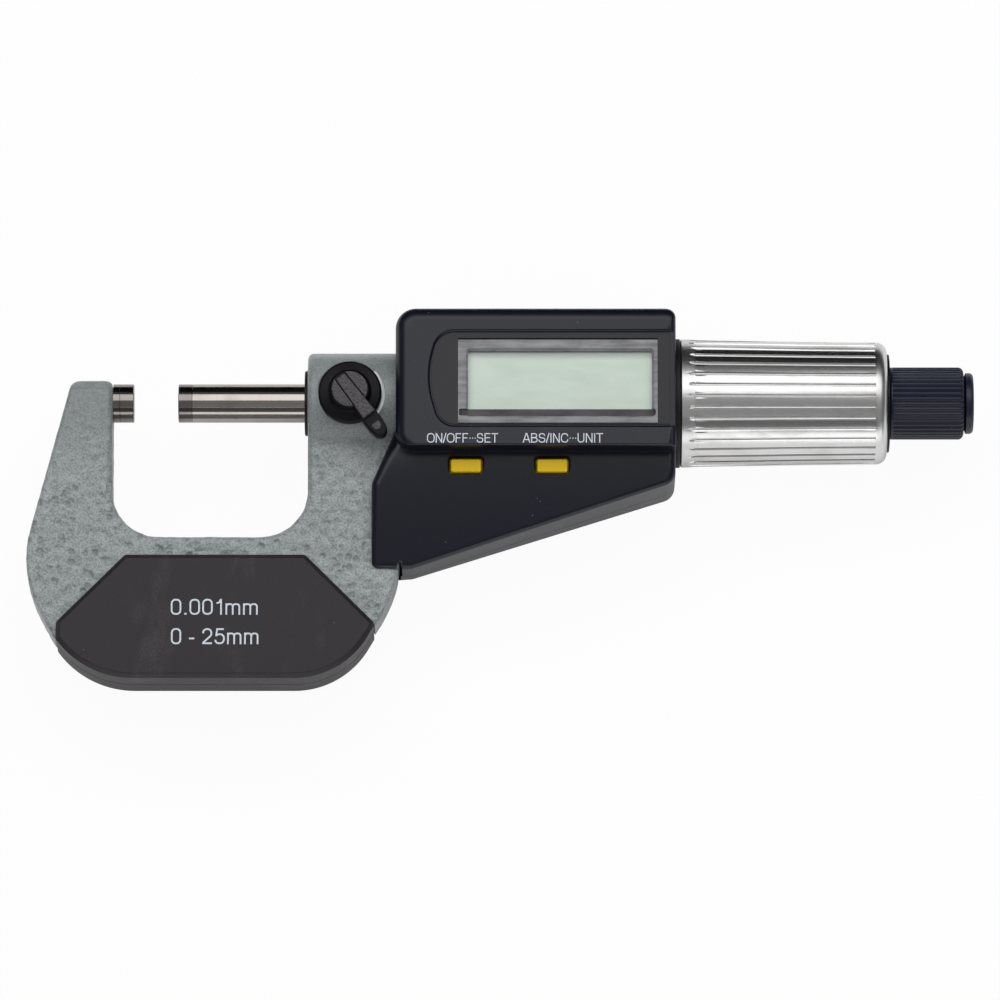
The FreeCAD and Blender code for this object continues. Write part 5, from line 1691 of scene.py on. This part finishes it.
@dataclass
class Thimble:
    """Satin chrome thimble with lengthwise grooves, its end plate and the black ring before it."""

    finishes: Finishes
    start: float = 92.3
    end: float = 127.1
    bore: float = 9.4
    stem_radius: float = 3.0
    stem_end: float = 130.3
    screw_bore: float = 1.3
    bore_end: float = 124.6
    grooves: int = 34
    phase: float = -5.5
    groove_width: float = 0.7
    groove_depth: float = 0.3
    mean_radius: float = 10.5
    groove_start: float = 93.65
    groove_stop: float = 125.0
    run_out: float = 1.2

    def radius(self, station: np.ndarray) -> np.ndarray:
        """Outer radius along the thimble: a step down behind the rim, then a slight taper."""
        return np.interp(station, [92.3, 93.7, 94.3, 95.1, 98.7, 104.8, 112.9, 121.0, 127.1],
                         [10.82, 10.81, 10.77, 10.70, 10.65, 10.56, 10.42, 10.33, 10.28])

    def angles(self) -> np.ndarray:
        """Angles round the thimble, close together in each groove and wide apart between.

        Returns:
            The angles of one turn.
        """
        pitch = 2 * math.pi / self.grooves
        half = self.groove_width / 2 / self.mean_radius
        inside = half * np.array([-1.0, -0.97, -0.75, -0.5, -0.25, 0.0, 0.25, 0.5, 0.75, 0.97, 1.0])
        between = np.linspace(half, pitch - half, 5)[1:-1]
        one = np.concatenate([inside, between])
        start = math.radians(90 + self.phase)
        return (start + np.arange(self.grooves)[:, None] * pitch + one).ravel()

    def outside(self) -> np.ndarray:
        """Rings of the outer surface.

        A ring's radius is the body's own less a groove's depth. Across a groove the depth is
        d - 4 d0 (s / w)^2 and never under 0, with s the arc from its middle, d0 its full depth
        and w its width. Along it d grows with the root of the share of the run-out at the left
        and falls off at once at the right.

        Returns:
            The rings, from the rim to the tail.
        """
        left = self.groove_start + self.run_out * np.linspace(0, 1, 9) ** 1.5
        middle = np.linspace(left[-1], self.groove_stop, 16)[1:]
        stations = np.concatenate([[self.start + 0.14, self.start + 0.6], left, middle,
                                   [self.groove_stop + 0.06, self.groove_stop + 0.12]])
        spin = self.angles()
        body = self.radius(stations)
        pitch = 2 * math.pi / self.grooves
        from_middle = (spin - spin[5] + pitch / 2) % pitch - pitch / 2
        deep = np.sqrt(np.clip((stations - self.groove_start) / self.run_out, 0, 1)) * self.groove_depth
        deep = np.where(stations > self.groove_stop + 0.01, 0.0, deep)
        arc = from_middle[None] * body[:, None]
        cut = np.maximum(deep[:, None] - 4 * self.groove_depth * (arc / self.groove_width) ** 2, 0)
        radius = body[:, None] - cut
        along = np.repeat(stations[:, None], len(spin), 1)
        return np.stack([along, radius * np.cos(spin), radius * np.sin(spin)], 2)

    def build(self) -> None:
        """Make the thimble and the ring."""
        spin = self.angles()
        rim = turned(np.array([[self.start, 9.45], [self.start, 10.66]]), spin, Axis.ALONG_X)
        shoulder = rounded([(self.groove_stop + 0.14, 10.29, 0), (self.end, 10.28, 1.75),
                            (self.end, 8.35, 0)], closed=False, step=9)[1:]
        tail = turned(shoulder, spin, Axis.ALONG_X)
        stem, bore, hole = self.stem_radius, self.bore, self.screw_bore
        inside = turned(np.array([[self.end, stem], [self.stem_end, stem], [self.stem_end, hole],
                                  [self.bore_end, hole], [self.bore_end, bore], [self.start + 0.3, bore]]),
                        spin, Axis.ALONG_X)
        skin = Skin().rings(np.concatenate([rim, self.outside(), tail, inside]), loop=True)
        dress(skin.piece("thimble_sleeve"), self.finishes.chrome, "thimble_drive", "satin_chrome", "thimble")
        near, far = self.end + 0.02, self.end + 0.42
        plate = Skin().lathe([(far, 3.02, 0), (far, 8.3, 0.12), (near, 8.3, 0), (near, 3.02, 0)], hollow=True)
        dress(plate.piece("thimble_end_plate"), self.finishes.black, "thimble_drive", "knob_plastic")
        ring = Skin().lathe([(91.35, 10.9, 0.1), (92.2, 10.9, 0.15), (92.2, 7.8, 0), (91.35, 7.8, 0)],
                            hollow=True)
        dress(ring.piece("thimble_seal_ring"), self.finishes.rubber, "frame_and_housing", "black_rubber",
              "thimble_ring")


@dataclass
class Ratchet:
    """Ribbed ratchet knob and its cap."""

    finishes: Finishes
    start: float = 127.6
    end: float = 140.1
    radius: float = 6.1
    bore: float = 4.3
    bearing: float = 3.05
    floor: float = 130.2
    cap_start: float = 137.7
    cap_end: float = 141.75
    cap_bore: float = 4.25
    cap_radius: float = 5.15
    ribs: int = 40
    rib_depth: float = 0.26

    def build(self) -> None:
        """Make the knob and the cap.

        At the angle a, with n ribs, the knob's radius between its rims is its own less the rib
        depth times 1 - |sin(n a / 2)|^0.9.
        """
        spin = circle(self.ribs * 10)
        start, end, rim, plastic = self.start, self.end, self.radius, self.finishes.knob
        edge = rounded([(end - 1.6, rim, 0), (end, rim, 0.9), (end, 4.9, 0)], closed=False, step=10)
        front = np.array([[start, 5.85], [start + 0.15, rim - 0.02], [start + 0.45, rim],
                          [start + 0.55, rim]])
        profile = np.concatenate([front, np.linspace([start + 1.2, rim], [end - 2.0, rim], 12), edge])
        waves = np.abs(np.sin(spin * self.ribs / 2)) ** 0.9
        ribbed = np.clip((profile[:, 0] - start - 0.45) / 0.12, 0, 1)
        ribbed = ribbed * np.clip((profile[:, 1] - 5.05) / 0.5, 0, 1)
        radius = profile[:, 1:] - self.rib_depth * ribbed[:, None] * (1 - waves)
        along = np.repeat(profile[:, :1], len(spin), 1)
        outer = np.stack([along, radius * np.cos(spin), radius * np.sin(spin)], 2)
        inside = turned(np.array([[end, self.bore], [self.floor, self.bore], [self.floor, self.bearing],
                                  [start, self.bearing]]), spin, Axis.ALONG_X)
        knob = Skin().rings(np.concatenate([outer, inside]), loop=True)
        dress(knob.piece("ratchet_sleeve"), plastic, "ratchet_head", "knob_plastic", "ratchet_knob")
        cap = Skin().lathe([(self.cap_start, self.cap_bore, 0), (end - 0.1, self.cap_bore, 0),
                            (end + 0.2, 4.75, 0.1), (end + 0.35, self.cap_radius, 0.1),
                            (self.cap_end, self.cap_radius, 0.7), (self.cap_end, 3.6, 0),
                            (self.cap_end - 0.15, 3.4, 0)], count=128)
        dress(cap.piece("ratchet_end_cap"), plastic, "ratchet_head", "knob_plastic", "ratchet_cap")


@dataclass
class InnerWorks:
    """Finishes of the CAD nodes that stay as they are."""

    finishes: Finishes

    def build(self) -> None:
        """Give each kept node its material."""
        kept = {
            self.finishes.inner: ("sleeve", "adjusting_nut", "thimble_clip", "stator_carrier",
                                  "thimble_core", "spindle_key", "ratchet_plate", "ratchet_spring",
                                  "ratchet_screw", "lock_stud", "contact_minus", "contact_plus"),
            self.finishes.brass: ("thread_nut", "rear_bush", "lock_shoe"),
            self.finishes.board: ("circuit_board", "encoder_stator", "encoder_rotor", "key_board"),
            self.finishes.chip: ("measuring_chip",),
            self.finishes.rubber: ("lcd_strip", "button_pad", "battery_seal"),
            self.finishes.cell: ("battery",),
            self.finishes.screw: ("housing_screws", "grip_screws"),
        }
        for material, names in kept.items():
            for name in names:
                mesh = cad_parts[name].data
                mesh.materials.clear()
                mesh.materials.append(material)
                log.info("%s: kept with %s", name, material.name)


@dataclass
class Studio:
    """Camera, floor and soft lamps."""

    target: tuple[float, float, float] = (61.81, -16.67, 0.0)
    distance: float = 1800.0
    tilt: float = 12.0
    lens: float = 384.03
    floor_level: float = -11.5
    room_glow: float = 0.1

    def camera(self) -> None:
        """The camera, which looks down on the object with a slight lean."""
        data = bpy.data.cameras.new("camera")
        data.lens = self.lens
        data.clip_start = 0.05
        data.clip_end = 20
        lean = math.radians(self.tilt)
        camera = bpy.data.objects.new("camera", data)
        x, y, z = self.target
        camera.location = (x * MM, (y - self.distance * math.sin(lean)) * MM,
                           (z + self.distance * math.cos(lean)) * MM)
        camera.rotation_euler = (lean, 0, 0)
        bpy.context.scene.collection.objects.link(camera)
        bpy.context.scene.camera = camera

    def floor(self) -> None:
        """A pale floor, white to the camera and in reflections, with the object's soft shadow."""
        half = 6000.0
        piece = block((-half, half, -half, half), self.floor_level - 1.0, self.floor_level).piece("floor")
        board = Board("floor_white")
        direct, mirrored, through = (board.node("ShaderNodeLightPath", {}, {}, name)
                                     for name in ("Is Camera Ray", "Is Glossy Ray", "Is Transmission Ray"))
        share = board.maths("MAXIMUM", board.maths("MAXIMUM", direct, through) * 0.95, mirrored * 0.2)
        paper = board.node("ShaderNodeBsdfDiffuse", {}, {"Color": srgb(246, 246, 246)})
        glow = board.node("ShaderNodeEmission", {}, {"Color": (1.0, 1.0, 1.0), "Strength": 1.0})
        mixed = board.node("ShaderNodeMixShader", {}, {0: share, 1: paper, 2: glow})
        output = board.tree.nodes.new("ShaderNodeOutputMaterial")
        board.tree.links.new(mixed.socket, output.inputs["Surface"])
        piece.data.materials.append(board.material)

    def card(self) -> None:
        """A low black card behind the object, which only shiny surfaces see."""
        front, back, low, high = 48.0, 49.0, self.floor_level + 0.1, 30.0
        corners = np.array([[-150, front], [280, front], [280, back], [-150, back]], float)
        rings = np.stack([np.column_stack([corners, np.full(4, level)]) for level in (low, high)])
        piece = Skin().rings(rings).piece("black_card")
        piece.data.materials.append(PlainStock("card_black", srgb(8, 8, 9), rough=0.9).paint())
        piece.visible_camera = piece.visible_diffuse = piece.visible_shadow = False
        piece.visible_transmission = False

    def lamp(self, name: str, angle: float, width: float, glow: float, distance: float = 1000.0,
             mirrored: bool = True) -> None:
        """A soft rectangular lamp that faces the object.

        A lamp that glows with g on every side gives pi times g watts for each square metre.

        Args:
            name: the lamp's name.
            angle: degrees from straight above towards +Y.
            width: degrees that it spans, seen from the object.
            glow: how bright it looks in a mirror.
            distance: how far off it stands in mm.
            mirrored: whether shiny surfaces show it.
        """
        data = bpy.data.lights.new(name, "AREA")
        data.shape = "RECTANGLE"
        data.size = 2.0 * distance * MM
        data.size_y = 2 * math.tan(math.radians(width / 2)) * distance * MM
        data.energy = math.pi * glow * data.size * data.size_y
        lamp = bpy.data.objects.new(name, data)
        up = math.radians(angle)
        direction = np.array([0.0, math.sin(up), math.cos(up)])
        lamp.location = (np.array(self.target) + direction * distance) * MM
        lamp.rotation_euler = (-up, 0, 0)
        lamp.visible_glossy = mirrored
        bpy.context.scene.collection.objects.link(lamp)

    def light(self) -> None:
        """Strip lamps that draw the bands on the round parts, a broad fill and a dim room."""
        self.lamp("softbox_behind", 26.0, 38.0, 1.45)
        self.lamp("softbox_above", -14.0, 38.0, 0.16)
        self.lamp("strip_front", -35.0, 2.4, 0.6)
        self.lamp("softbox_front", -77.0, 24.0, 1.25, 1300.0)
        self.lamp("key", 46.0, 14.0, 3.0, 1200.0, False)
        self.lamp("fill", -20.0, 60.0, 0.3, 1400.0, False)
        world = bpy.data.worlds.new("room")
        world.use_nodes = True
        shade = world.node_tree.nodes["Background"]
        shade.inputs["Color"].default_value = (1.0, 1.0, 1.0, 1.0)
        shade.inputs["Strength"].default_value = self.room_glow
        bpy.context.scene.world = world

    def build(self) -> None:
        """Set up the studio."""
        bpy.context.scene.view_settings.view_transform = "Standard"
        self.camera()
        self.floor()
        self.card()
        self.light()


def main() -> None:
    """Build the object piece by piece, logging each piece's faces, and set up the studio."""
    logging.basicConfig(level=logging.INFO, format="%(name)s %(message)s")
    finishes = Finishes()
    for kind in (InnerWorks, ForgedFrame, Grips, MeasuringLine, SpindleLock, Housing, Display, Keys, Thimble,
                 Ratchet):
        kind(finishes).build()
    Studio().build()


if __name__ == "__main__":
    main()
